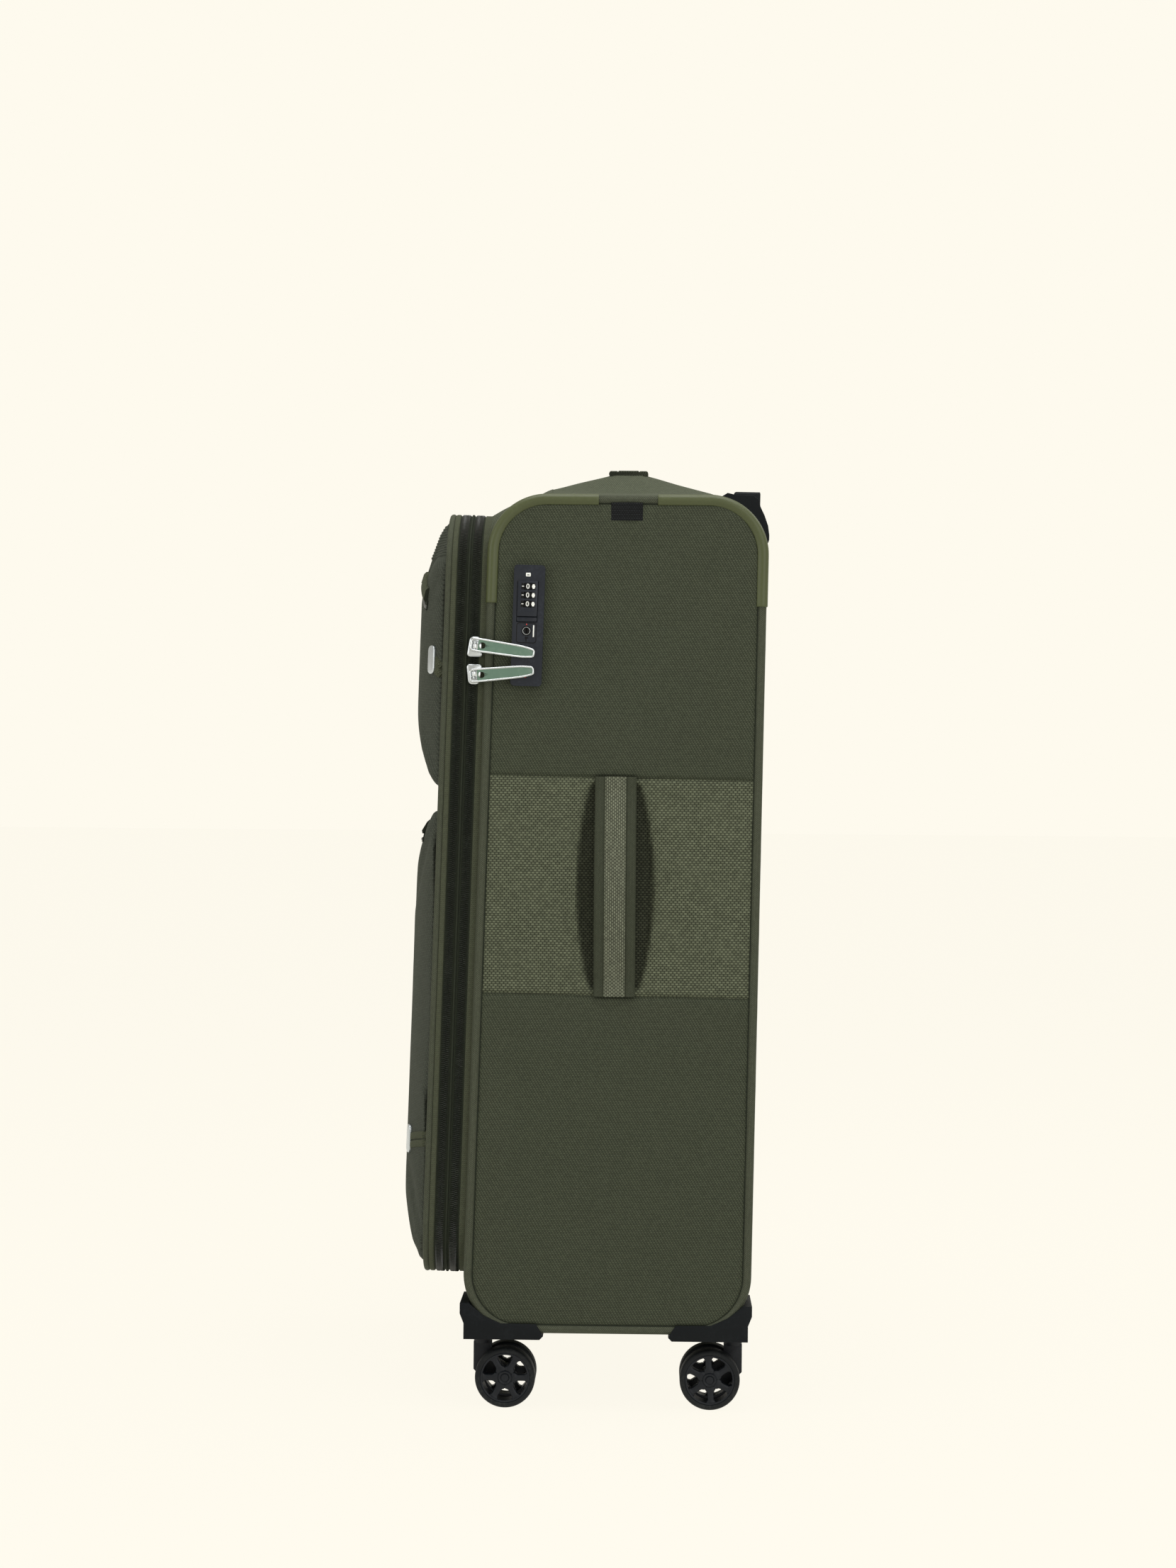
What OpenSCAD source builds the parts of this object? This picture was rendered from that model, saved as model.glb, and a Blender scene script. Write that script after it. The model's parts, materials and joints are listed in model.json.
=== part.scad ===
// Soft-sided travel case with four double-wheel castors.
// Frame: +X towards the lock side, +Y towards the back, +Z up, floor at z = 0.
// The front of the case leans back a little, and so does the back, so the lid and its zips are
// drawn in a frame that leans with the front edge, and the pull-out handle in one that leans
// with the back edge. In the front frame, "n" is the distance outwards from the front edge.

/* [Case] */
// Width over the two side panels
case_w = 470; // [380:2:570]
// Depth from the front edge to the back edge, at floor level
case_d = 237; // [190:1:290]
// Height of the fabric body, from piping to piping
case_h = 687; // [560:1:830]
// Height of the body's underside above the floor
ground_gap = 64; // [62:1:80]
// Corner radius of the side panels
corner_r = 48; // [40:1:58]
// Lean of the front edge, degrees
front_lean = 1.5; // [0:0.1:2]
// Lean of the back edge, degrees
back_lean = 0.8; // [0:0.1:1.5]
// Thickness of the padded fabric walls
wall = 4; // [3:0.5:5]
// Width of the round piping along the side panels' edges
piping_w = 7; // [5.5:0.5:8]
// Thickness of the tough sleeves on the piping at the top corners
sleeve_t = 1.6; // [1:0.1:2.5]
// Length of each sleeve's two legs, measured from the corner
sleeve_leg = 90; // [70:1:110]

/* [Lid] */
// How far the lid's sides stand in from the side panels' faces
lid_side_in = 6; // [4:0.5:9]
// How far the lid's top edge lies below the body's top
lid_top_in = 13; // [8:0.5:20]
// How far the lid's bottom edge lies above the body's underside
lid_bottom_up = 42; // [30:1:50]
// Corner radius of the lid
lid_corner_r = 48; // [35:1:60]
// Depth of the plain strip between the front edge and the main zip
rim_strip = 5; // [3:0.5:8]
// Width of the main zip
main_zip_w = 10; // [8:0.5:13]
// Width of the band between the two zips
groove_w = 2; // [1.5:0.5:4]
// Width of the expander zip
expander_zip_w = 9; // [8:0.5:12]
// Width of the lid's side band
lid_band_w = 4; // [3:0.5:8]
// Width of the piping around the lid's face
lid_piping_w = 5; // [4:0.5:7]
// Travel of the lid when the expander zip is undone
expansion = 38; // [20:1:45]
// Furthest bulge of the upper front pocket from the lid's face
upper_bulge = 25; // [15:1:32]
// Furthest bulge of the lower front pocket from the lid's face
lower_bulge = 21; // [15:1:32]
// Distance of the seam between the two front pockets below the body's top
pocket_seam_drop = 249; // [220:1:290]

/* [Lock] */
// Width of the lock plate
lock_w = 25.4; // [24:0.2:30]
// Length of the lock plate
lock_l = 99; // [96:1:110]
// Distance of the lock's centre line behind the front edge
lock_set_back = 34.5; // [34:0.5:45]
// Distance of the lock plate's upper end below the body's top
lock_drop = 57; // [55:1:120]
// How far the plate stands out from the side panel
lock_proud = 7; // [5:0.5:9]
// Radius of the number dials, over their corners
dial_r = 10; // [9:0.2:10.6]
// Height of each dial
dial_h = 5.6; // [4.6:0.1:6]
// Distance from dial to dial
dial_pitch = 7.2; // [7:0.1:7.8]
// Travel of the release bar
release_travel = 4; // [2:0.5:5]

/* [Handles] */
// Width of the carrying straps
strap_w = 34; // [26:1:40]
// Length of the side strap, seam to seam
side_strap_l = 179; // [150:1:200]
// Height of the side strap's lower seam
side_strap_z = 341; // [280:1:360]
// Thickness of the side strap
strap_t = 4; // [3:0.5:6]
// Clear height of the arch under the side strap
side_rise = 11; // [8:1:16]
// Clear height of the arch under the top strap
top_rise = 29; // [18:1:30]
// Length of the top strap, seam to seam
top_strap_l = 200; // [170:2:240]
// Distance between the pull-out handle's two tubes
tube_spread = 160; // [130:2:180]
// Travel of each of the handle's two stages
stage_travel = 150; // [100:5:200]
// Width of the outermost tube
tube_w = 22; // [20:0.5:26]
// Depth of the outermost tube
tube_d = 15; // [13.5:0.5:17]
// Wall of each tube
tube_wall = 1.2; // [0.8:0.1:1.5]

/* [Castors] */
// Radius of the wheels
wheel_r = 24.8; // [20:0.2:25]
// Width of each wheel
wheel_w = 17; // [12:0.5:20]
// Thickness of the arm between the two wheels
arm_t = 9; // [7:0.5:12]
// Distance of the axle from the swivel axis
trail = 19.3; // [14:0.1:22]
// Radius of the swivel stem
stem_r = 5; // [4:0.1:6]
// Radius of the axle
axle_r = 3; // [2:0.1:3.5]
// Distance of the swivel axes in from the side panels
castor_side_in = 35; // [32:1:45]
// Distance of the front swivel axes behind the front edge
castor_front_in = 16; // [14:0.5:20]
// Distance of the back swivel axes in front of the back edge
castor_back_in = 13; // [12:0.5:20]

/* [Clearances] */
// Gap between pieces that move past each other
part_gap = 0.4; // [0.3:0.05:0.6]
// Radial clearance of a running shaft in its bore
run_gap = 0.05; // [0.02:0.01:0.1]

/* [Hidden] */

$fn = 48;
eps = 0.01;

// Overall places
half_w = case_w / 2;
case_top = ground_gap + case_h;
// The front pockets stand out further than the handle housing does at the back
front_stands_more = 36;
front_foot = -(case_d - front_stands_more) / 2;
back_foot = front_foot + case_d;
low_arc_z = ground_gap + corner_r;
high_arc_z = case_top - corner_r;
gusset_x = half_w - piping_w;
panel_x = half_w - 1;
arc_steps = 12;
beyond = 400;

function front_y(z) = front_foot + z * tan(front_lean);
function back_y(z) = back_foot + z * tan(back_lean);

// Points of an arc about (y, z), from angle a0 to a1
function arc_pts(y, z, r, a0, a1) =
    [for (i = [0 : arc_steps]) let (a = a0 + (a1 - a0) * i / arc_steps) [y + r * cos(a), z + r * sin(a)]];

// Outline of the side panels, drawn in from the body's skin by d
function side_pts(d) =
    let (r = corner_r,
         back_low = back_y(low_arc_z) - r / cos(back_lean),
         back_high = back_y(high_arc_z) - r / cos(back_lean),
         front_low = front_y(low_arc_z) + r / cos(front_lean),
         front_high = front_y(high_arc_z) + r / cos(front_lean))
    concat(arc_pts(back_low, low_arc_z, r - d, -90, -back_lean),
           arc_pts(back_high, high_arc_z, r - d, -back_lean, 90),
           arc_pts(front_high, high_arc_z, r - d, 90, 180 - front_lean),
           arc_pts(front_low, low_arc_z, r - d, 180 - front_lean, 270));

// Outline of the lid, seen from the front, drawn in by d
lid_x = half_w - lid_side_in;
lid_z0 = ground_gap + lid_bottom_up;
lid_z1 = case_top - lid_top_in;
function lid_pts(d, r = lid_corner_r) =
    concat(arc_pts(lid_x - r, lid_z0 + r, r - d, -90, 0),
           arc_pts(lid_x - r, lid_z1 - r, r - d, 0, 90),
           arc_pts(-lid_x + r, lid_z1 - r, r - d, 90, 180),
           arc_pts(-lid_x + r, lid_z0 + r, r - d, 180, 270));

// Layers of the lid, as distances out from the front edge
n_zip = rim_strip;
n_groove = n_zip + main_zip_w;
n_expander = n_groove + groove_w;
n_band = n_expander + expander_zip_w;
n_piping = n_band + lid_band_w;
n_face = n_piping + lid_piping_w - 1;
zip_in = 0.5;
zip_t = 3;
backing_in = zip_in + zip_t;
backing_t = 2;
flange_in = 8;
sleeve_in = backing_in + backing_t + part_gap + 0.1;
gusset_t = 1.5;
gusset_depth = 17;

// Frames that lean with the front edge and with the back edge
module in_front() translate([0, front_foot, 0]) rotate([-front_lean, 0, 0]) children();
module in_back() translate([0, back_foot, 0]) rotate([-back_lean, 0, 0]) children();
module both_sides() { children(); mirror([1, 0, 0]) children(); }

// A slab with the side outline, from x0 to x1
module side_slab(x0, x1, d)
    translate([x0, 0, 0]) rotate([90, 0, 90]) linear_extrude(x1 - x0) polygon(side_pts(d));
// A ring between two side outlines
module side_ring(x0, x1, d0, d1)
    translate([x0, 0, 0]) rotate([90, 0, 90]) linear_extrude(x1 - x0)
        difference() { polygon(side_pts(d0)); polygon(side_pts(d1)); }
// A slab with the lid's outline, from n0 to n1
module lid_slab(n0, n1, d)
    in_front() translate([0, -n0, 0]) rotate([90, 0, 0]) linear_extrude(n1 - n0) polygon(lid_pts(d));
// A ring between two lid outlines
module lid_ring(n0, n1, d0, d1)
    in_front() translate([0, -n0, 0]) rotate([90, 0, 0]) linear_extrude(n1 - n0)
        difference() { polygon(lid_pts(d0)); polygon(lid_pts(d1)); }
// The part of the wrap-around wall between heights z0 and z1 and depths y0 and y1
module gusset_part(y0, y1, z0, z1)
    translate([-gusset_x, 0, 0]) rotate([90, 0, 90]) linear_extrude(2 * gusset_x)
        intersection() {
            difference() { polygon(side_pts(0)); polygon(side_pts(wall)); }
            translate([y0, z0]) square([y1 - y0, z1 - z0]);
        }
// The space that the lid's mouth opens into
module mouth_space() lid_slab(-corner_r - 12, rim_strip + 1, wall);
// A box centred in x and y, given its lowest z
module post(w, d, h) translate([-w / 2, -d / 2, 0]) cube([w, d, h]);

// ---- body ----
module back_panel()
    color("darkolivegreen") gusset_part(0, beyond, low_arc_z, high_arc_z);

module bottom_panel()
    color("darkolivegreen")
        difference() { gusset_part(-beyond, beyond, 0, low_arc_z); mouth_space(); }

module top_panel()
    color("olivedrab")
        difference() {
            gusset_part(-beyond, beyond, high_arc_z, case_top + 1);
            mouth_space();
            at_tubes() translate([0, 0, high_arc_z - 20]) post(tube_w, tube_d, corner_r + 60);
        }

module mouth_rim()
    color("darkolivegreen") {
        difference() { gusset_part(-beyond, 0, low_arc_z, high_arc_z); mouth_space(); }
        difference() {
            lid_ring(-corner_r, rim_strip, 0, wall);
            side_slab(-half_w - 1, half_w + 1, 0);
        }
    }

module side_panel_left()
    color("darkolivegreen") side_slab(-panel_x, -panel_x + wall, piping_w);

module side_panel_right()
    color("darkolivegreen")
        difference() {
            side_slab(panel_x - wall, panel_x, piping_w);
            lock_body(part_gap / 2);
        }

module edge_piping()
    color("olivedrab") both_sides() side_ring(gusset_x, half_w, 0, piping_w);

module corner_sleeves()
    color("yellowgreen") both_sides()
        intersection() {
            difference() {
                side_ring(gusset_x, half_w + sleeve_t, -sleeve_t, piping_w);
                side_slab(gusset_x - 1, half_w, 0);
                lid_slab(-1, rim_strip, 0);
            }
            union() {
                translate([0, front_y(case_top) - 20, case_top - sleeve_leg])
                    cube([beyond, sleeve_leg + 20, beyond]);
                translate([0, back_y(case_top) - sleeve_leg, case_top - sleeve_leg])
                    cube([beyond, beyond, beyond]);
            }
        }

// Webbing tab that hangs from the piping beside the top strap
tab_w = 26;
tab_l = 14;
tab_t = 2.2;
strap_y = (front_y(case_top) + back_y(case_top)) / 2 - 2;
module webbing_tab()
    color("dimgray")
        translate([panel_x, strap_y - tab_w / 2, case_top - piping_w - tab_l]) cube([tab_t, tab_w, tab_l]);

// Arched strap: p runs along it from 0 to len, q is its height above the surface
seam_l = 12;
function strap_rise(p, len, rise) = rise * sin(180 * max(0, min(1, (p - seam_l) / (len - 2 * seam_l))));
function strap_pts(len, rise, t) =
    let (n = 24)
    concat([for (i = [0 : n]) let (p = len * i / n) [p, t + strap_rise(p, len, rise)]],
           [for (i = [n : -1 : 0]) let (p = len * i / n) [p, strap_rise(p, len, rise)]]);

side_strap_y = front_y(side_strap_z + side_strap_l / 2) + 113;
module side_handle()
    color("darkgreen")
        translate([panel_x, side_strap_y + strap_w / 2, side_strap_z]) rotate([90, -90, 0]) mirror([0, 1, 0])
            linear_extrude(strap_w) polygon(strap_pts(side_strap_l, side_rise, strap_t));

// Ridge of padded fabric that rises to each end of the top strap
ridge_half = 72;
ridge_h = 16;
ridge_t = 12;
function ridge_pts() =
    concat([for (i = [0 : 16]) let (u = -1 + i / 8) [u * ridge_half, ridge_h * pow(max(0, 1 - u * u), 0.6)]]);
top_strap_t = 5;
module top_handle()
    color("darkgreen") translate([0, strap_y, case_top]) {
        translate([-top_strap_l / 2, strap_w / 2, 0]) rotate([90, 0, 0])
            linear_extrude(strap_w) polygon(strap_pts(top_strap_l, top_rise, top_strap_t));
        both_sides() translate([top_strap_l / 2 - ridge_t, 0, 0]) rotate([90, 0, 90])
            linear_extrude(ridge_t) polygon(ridge_pts());
    }

// ---- lock ----
lock_top = case_top - lock_drop;
lock_z = lock_top - lock_l;
lock_in = 14.5;
lock_body_w = 23.2;
lock_body_l = 58;
lock_body_drop = 10;
recess_deep = 2.5;
recess_w = 17.2;
recess_drop = 13.5;
dial_drop = 17.7;
release_drop = 44.5;
release_w = 16.4;
release_h = 3.8;
key_drop = 54;
key_r = 3.1;
key_off = -1;
spindle_r = 1.5;
lock_face = panel_x + lock_proud;
dial_x = lock_face - dial_r * cos(18);
module in_lock(drop) in_front() translate([0, lock_set_back, lock_top - drop]) children();
// The part of the lock that passes in through the side panel
module lock_body(grow)
    in_lock(lock_body_drop + lock_body_l + grow)
        translate([panel_x - lock_in - grow, -lock_body_w / 2 - grow, 0])
            cube([lock_in + 2 * grow, lock_body_w + 2 * grow, lock_body_l + 2 * grow]);

module lock_housing()
    color("dimgray") {
        difference() {
            union() {
                in_lock(lock_l) translate([panel_x, -lock_w / 2, 0]) cube([lock_proud, lock_w, lock_l]);
                lock_body(0);
            }
            // Window in front of the dials and the release bar
            in_lock(release_drop + release_h / 2 + part_gap)
                translate([lock_face - recess_deep, key_off - recess_w / 2, 0])
                    cube([recess_deep + 1, recess_w, release_drop + release_h / 2 + part_gap - recess_drop]);
            for (i = [0 : 2])
                in_lock(dial_drop + i * dial_pitch)
                    translate([dial_x, key_off, -dial_h / 2 - part_gap / 2])
                        cylinder(r = dial_r + part_gap, h = dial_h + part_gap);
            in_lock(key_drop) translate([lock_face - 9, key_off, 0])
                rotate([0, 90, 0]) cylinder(r = key_r + run_gap, h = 12);
        }
        in_lock(dial_drop + 2 * dial_pitch) translate([dial_x, key_off, -dial_h / 2 - 1])
            cylinder(r = spindle_r, h = 2 * dial_pitch + dial_h + 2);
    }

module lock_dial(i)
    in_lock(dial_drop + i * dial_pitch) translate([dial_x, key_off, -dial_h / 2]) difference() {
        rotate([0, 0, 18]) cylinder(r = dial_r, h = dial_h, $fn = 10);
        translate([0, 0, -1]) cylinder(r = spindle_r + run_gap, h = dial_h + 2);
    }
module lock_dial_upper() color("white") lock_dial(0);
module lock_dial_middle() color("white") lock_dial(1);
module lock_dial_lower() color("white") lock_dial(2);

module lock_release()
    color("gray") in_lock(release_drop)
        translate([lock_face - recess_deep + part_gap, key_off - release_w / 2, -release_h / 2])
            cube([recess_deep - part_gap + 0.3, release_w, release_h]);

module lock_key_barrel()
    color("silver") in_lock(key_drop) translate([lock_face - 8.6, key_off, 0]) difference() {
        rotate([0, 90, 0]) cylinder(r = key_r, h = 8.8);
        translate([4.8, -0.7, -2.1]) cube([8, 1.4, 4.2]);
    }

// ---- zips on the body and their sliders ----
module body_zip_tape()
    color("black") lid_ring(n_zip, n_zip + main_zip_w / 2 - part_gap / 2, zip_in, backing_in);

// Cloth strip that joins the body to the lid along the far side
module hinge_strip()
    color("darkolivegreen") in_front()
        translate([-lid_x - 2, -(n_zip + main_zip_w / 2 - part_gap / 2), lid_z0 + lid_corner_r])
            cube([2, n_zip + main_zip_w / 2 - part_gap, case_top - sleeve_leg - 2 - lid_z0 - lid_corner_r]);

slider_h = 16.6;
slider_w = 13.4;
slider_n = 8.5;
slider_t = 4;
slider_foot = lid_x + part_gap;
upper_slider_z = lock_z + 31;
lower_slider_z = lock_z + 8.4;
bail_x = lock_face + part_gap - 0.6;
bail_r = 1.2;
bail_l = 11;
puller_l = 50;
puller_w = 12;
puller_t = 3;
puller_tip_w = 10.6;
knuckle_r = 2.5;
knuckle_l = 5;
puller_tilt = 6.8;
puller_off = 1.5;
// Slider body with a raised bar for its pull, centred on z = 0
module main_slider()
    translate([0, -slider_n, 0]) {
        translate([slider_foot, -slider_w / 2, -slider_h / 2]) cube([slider_t, slider_w, slider_h]);
        for (side = [-1, 1])
            translate([slider_foot, -1.6, side * (bail_l / 2 + 0.6) - 1.2])
                cube([bail_x + bail_r - slider_foot, 3.2, 2.4]);
        translate([bail_x, 0, -bail_l / 2]) cylinder(r = bail_r, h = bail_l);
    }
// Pull that hinges on the bar and lies back over the lock; up is 1 for the upper one, -1 for the lower
module main_puller(up)
    translate([bail_x, -slider_n, 0]) difference() {
        union() {
            translate([0, 0, -knuckle_l / 2]) cylinder(r = knuckle_r, h = knuckle_l);
            translate([0.6 + part_gap, 0, up * puller_off]) rotate([-up * puller_tilt, 0, 0])
                rotate([90, 0, 90]) linear_extrude(puller_t)
                    polygon([[1.5, -puller_w / 2], [puller_l - 9, -puller_tip_w / 2], [puller_l, -2.5],
                             [puller_l, 2.5], [puller_l - 9, puller_tip_w / 2], [1.5, puller_w / 2]]);
        }
        translate([0, 0, -knuckle_l]) cylinder(r = bail_r + run_gap, h = 2 * knuckle_l);
        // Slots that let the bar's two posts through
        for (side = [-1, 1])
            translate([-4, -8, side * (bail_l / 2 + 0.6) - 1.2 - part_gap]) cube([10, 12, 2.4 + 2 * part_gap]);
    }
module main_slider_upper() color("silver") in_front() translate([0, 0, upper_slider_z]) main_slider();
module main_slider_lower() color("silver") in_front() translate([0, 0, lower_slider_z]) main_slider();
module main_puller_upper()
    color("mediumseagreen") in_front() translate([0, 0, upper_slider_z]) main_puller(1);
module main_puller_lower()
    color("mediumseagreen") in_front() translate([0, 0, lower_slider_z]) main_puller(-1);

// ---- lid, in two layers with the expander between them ----
module rim_zip_tapes()
    color("black") {
        lid_ring(n_zip + main_zip_w / 2 + part_gap / 2, n_groove, zip_in, backing_in);
        lid_ring(n_expander, n_expander + expander_zip_w / 2 - part_gap, zip_in, backing_in);
    }
module lid_rim_band()
    color("darkolivegreen") {
        lid_ring(n_groove, n_expander, 0, backing_in);
        lid_ring(n_zip + main_zip_w / 2 + part_gap / 2, n_expander + expander_zip_w / 2 - part_gap,
                 backing_in, backing_in + backing_t);
    }
module lid_zip_tape()
    color("black") lid_ring(n_expander + expander_zip_w / 2 + part_gap / 2, n_band, zip_in, backing_in);
module lid_band()
    color("darkolivegreen") {
        lid_ring(n_expander + expander_zip_w / 2 + part_gap / 2, n_band, backing_in, sleeve_in - 0.1);
        lid_ring(n_band, n_piping - 2, 0, sleeve_in - 0.1);
        lid_ring(n_piping - 2, n_piping, 0, flange_in);
    }
module lid_piping() color("olivedrab") lid_ring(n_piping, n_piping + lid_piping_w, 0, lid_piping_w);
module lid_panel() color("darkolivegreen") lid_slab(n_piping, n_face, lid_piping_w);
module expansion_gusset()
    color("olive") lid_ring(-gusset_depth, n_piping - 2, sleeve_in, sleeve_in + gusset_t);

// Pillow shape on the lid's face, between heights z0 and z1
pocket_side_in = 9;
pocket_corner_in = 8;
pocket_side_fall = 7;
pocket_half = lid_x - pocket_side_in;
function swell(u, p) = pow(max(0, 1 - pow(abs(u), p)), 0.5);
module pillow(z0, z1, bulge, p)
    in_front() intersection() {
        translate([-lid_x, -n_face, 0]) rotate([90, 0, 90]) linear_extrude(2 * lid_x)
            polygon(concat([[0, z0], [0, z1]], [for (i = [24 : -1 : 0]) let (u = -1 + i / 12)
                [-2 - (bulge - 2) * swell(u, p), (z0 + z1) / 2 + u * (z1 - z0) / 2]]));
        linear_extrude(case_top + 100)
            polygon(concat([[pocket_half, -n_face], [-pocket_half, -n_face]],
                [for (i = [-20 : 20]) let (u = i / 20)
                    [u * pocket_half, -n_face - 2 - (bulge - 2) * swell(u, pocket_side_fall)]]));
        translate([0, -n_face + 1, 0]) rotate([90, 0, 0]) linear_extrude(bulge + 2)
            polygon(lid_pts(pocket_corner_in));
    }
// Distance out from the front edge of a pillow's surface at height z
function pillow_n(z, z0, z1, bulge, p) =
    n_face + 2 + (bulge - 2) * swell((z - (z0 + z1) / 2) / ((z1 - z0) / 2), p);
pocket_split = 10;
pocket_seam_z = case_top - pocket_seam_drop;
upper_z = [pocket_seam_z + pocket_split, lid_z1 - 4];
lower_z = [lid_z0 + 6, pocket_seam_z - pocket_split];
upper_fall = 3.2;
lower_fall = 4.5;
module upper_pocket() color("darkolivegreen") pillow(upper_z[0], upper_z[1], upper_bulge, upper_fall);
module lower_pocket() color("darkolivegreen") pillow(lower_z[0], lower_z[1], lower_bulge, lower_fall);

// Blank plates on the pockets' rounded sides towards the lock: z, distance in from the pocket's side, and turn
badge_w = 10;
badge_h = 24;
badge_t = 1.8;
badge_sink = 7;
upper_badge_z = pocket_seam_z + 101;
lower_badge_z = lid_z0 + 98;
upper_badge_x = pocket_half - 8;
lower_badge_x = pocket_half - 34;
upper_badge_turn = 33;
lower_badge_turn = 10;
function badge_n(x, bulge) = n_face + 2 + (bulge - 2) * swell(x / pocket_half, pocket_side_fall);
module badge(x, z, turn, bulge)
    in_front() translate([x, -badge_n(x, bulge), z]) rotate([0, 0, turn])
        translate([-badge_w / 2, -badge_t, 0]) cube([badge_w, badge_t + badge_sink, badge_h]);
module badge_plates()
    color("silver") {
        difference() {
            badge(upper_badge_x, upper_badge_z, upper_badge_turn, upper_bulge);
            pillow(upper_z[0], upper_z[1], upper_bulge, upper_fall);
        }
        difference() {
            badge(lower_badge_x, lower_badge_z, lower_badge_turn, lower_bulge);
            pillow(lower_z[0], lower_z[1], lower_bulge, lower_fall);
        }
    }

// Small slider with a short pull, for the pockets and the expander: foot on z = 0, pull towards +X
small_w = 9;
small_l = 13;
small_t = 3;
small_pull_l = 30;
module small_slider()
    union() {
        translate([-small_l / 2, -small_w / 2, 0]) cube([small_l, small_w, small_t]);
        translate([-2, -1.5, 0]) cube([4, 3, small_t + 1.5]);
        translate([-2, -small_w / 2 + 1, small_t + 0.5]) cube([small_pull_l, small_w - 2, 1.5]);
    }
far_x = -(lid_x - 74);
upper_slot_z = lid_z1 - 44;
lower_slot_z = pocket_seam_z - 22;
upper_slot_n = pillow_n(upper_slot_z - small_w / 2, upper_z[0], upper_z[1], upper_bulge, upper_fall);
lower_slot_n = pillow_n(lower_slot_z - small_w / 2, lower_z[0], lower_z[1], lower_bulge, lower_fall);
module upper_pocket_slider()
    color("silver") in_front() translate([far_x, -upper_slot_n - part_gap, upper_slot_z])
        rotate([90, 0, 0]) small_slider();
module lower_pocket_slider()
    color("silver") in_front() translate([far_x, -lower_slot_n - part_gap, lower_slot_z])
        rotate([90, 0, 0]) small_slider();
module expander_slider()
    color("silver") in_front() translate([far_x, -n_expander - expander_zip_w / 2, lid_z1 + part_gap])
        small_slider();

// ---- pull-out handle ----
tube_in = 13.5;
tube_low = low_arc_z - 2;
tube_top = case_top - 1;
mid_w = tube_w - 2 * tube_wall - 2 * part_gap;
mid_d = tube_d - 2 * tube_wall - 2 * part_gap;
top_w = mid_w - 2 * tube_wall - 2 * part_gap;
top_d = mid_d - 2 * tube_wall - 2 * part_gap;
stage_step = 8;
grip_half = (tube_spread + tube_w) / 2 + 1;
grip_d = 23;
grip_h = 16;
grip_z = tube_top + 2;
housing_half = grip_half + 23;
button_w = 44;
button_d = 9;
button_h = 4.4;
button_up = 1;
button_travel = 3;
module at_tubes() in_back() translate([0, -tube_in, 0])
    for (side = [-1, 1]) translate([side * tube_spread / 2, 0, 0]) children();
module tube(w, d, z0, z1)
    translate([0, 0, z0]) difference() {
        post(w, d, z1 - z0);
        translate([0, 0, -1]) post(w - 2 * tube_wall, d - 2 * tube_wall, z1 - z0 + 2);
    }
module trolley_outer_tubes() color("gray") at_tubes() tube(tube_w, tube_d, tube_low, tube_top);
module trolley_middle_tubes()
    color("silver") at_tubes() tube(mid_w, mid_d, tube_low + stage_step, tube_top + 1);
module trolley_upper_tubes()
    color("silver") at_tubes() tube(top_w, top_d, tube_low + 2 * stage_step, grip_z);
module trolley_grip()
    color("dimgray") in_back() translate([0, -tube_in, grip_z]) difference() {
        post(2 * grip_half, grip_d, grip_h);
        translate([0, 0, grip_h - button_h - button_travel + button_up - part_gap])
            post(button_w + 2 * part_gap, button_d + 2 * part_gap, grip_h);
    }
module trolley_button()
    color("gray") in_back() translate([0, -tube_in, grip_z + grip_h + button_up - button_h])
        post(button_w, button_d, button_h);
// Cap over the top back edge; its profile is drawn from the back edge and the case's top
// It reaches a little below the seam between the top panel and the back panel.
housing_low = -corner_r - 2;
housing_pts = [[-38, housing_low], [-38, 0], [-36.5, 10], [-31, 13.5], [-24, 12], [-9, 12], [-4, 8], [-2.5, 2],
               [1, -5], [4.3, -14], [5.5, -22], [5.5, -26], [4.6, -29], [2.6, -30], [2.6, housing_low]];
module trolley_housing()
    color("dimgray") difference() {
        in_back() translate([-housing_half, 0, case_top]) rotate([90, 0, 90])
            linear_extrude(2 * housing_half) polygon(housing_pts);
        side_slab(-half_w, half_w, 0);
        in_back() translate([0, -tube_in, tube_top])
            post(2 * (grip_half + part_gap), grip_d + 2 * part_gap, 40);
        at_tubes() translate([0, 0, tube_top - 60]) post(tube_w, tube_d, 80);
    }

// ---- castors and their guards ----
castor_x = half_w - castor_side_in;
front_castor_y = front_y(ground_gap) + castor_front_in;
back_castor_y = back_y(ground_gap) - castor_back_in;
guard_low = -5;
guard_x0 = castor_x - 22;
guard_t = 1.5;
socket_h = 14;
// Guard profile: distance in from the body's edge, and height above the body's underside
guard_pts = [[-1.5, 24.4], [6, 24.4], [18, 14.5], [32, 8.2], [61, 7.9], [67, -2], [64, guard_low],
             [1.7, guard_low], [1.7, 8], [-1.5, 16]];
module guard(y_axis)
    difference() {
        translate([guard_x0, 0, ground_gap]) rotate([90, 0, 90])
            linear_extrude(half_w + guard_t - guard_x0) polygon(guard_pts);
        translate([castor_x, y_axis, ground_gap + guard_low - 1]) cylinder(r = stem_r + run_gap, h = socket_h + 1);
    }
module corner_guards()
    color("dimgray") both_sides() difference() {
        union() {
            translate([0, front_y(ground_gap), 0]) guard(castor_front_in);
            translate([0, back_y(ground_gap), 0]) mirror([0, 1, 0]) guard(castor_back_in);
        }
        side_slab(0, half_w, 0);
    }

collar_r = 7.5;
collar_top = ground_gap + guard_low - part_gap;
collar_low = wheel_r * 2 + 1;
boss_r = 8;
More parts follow.
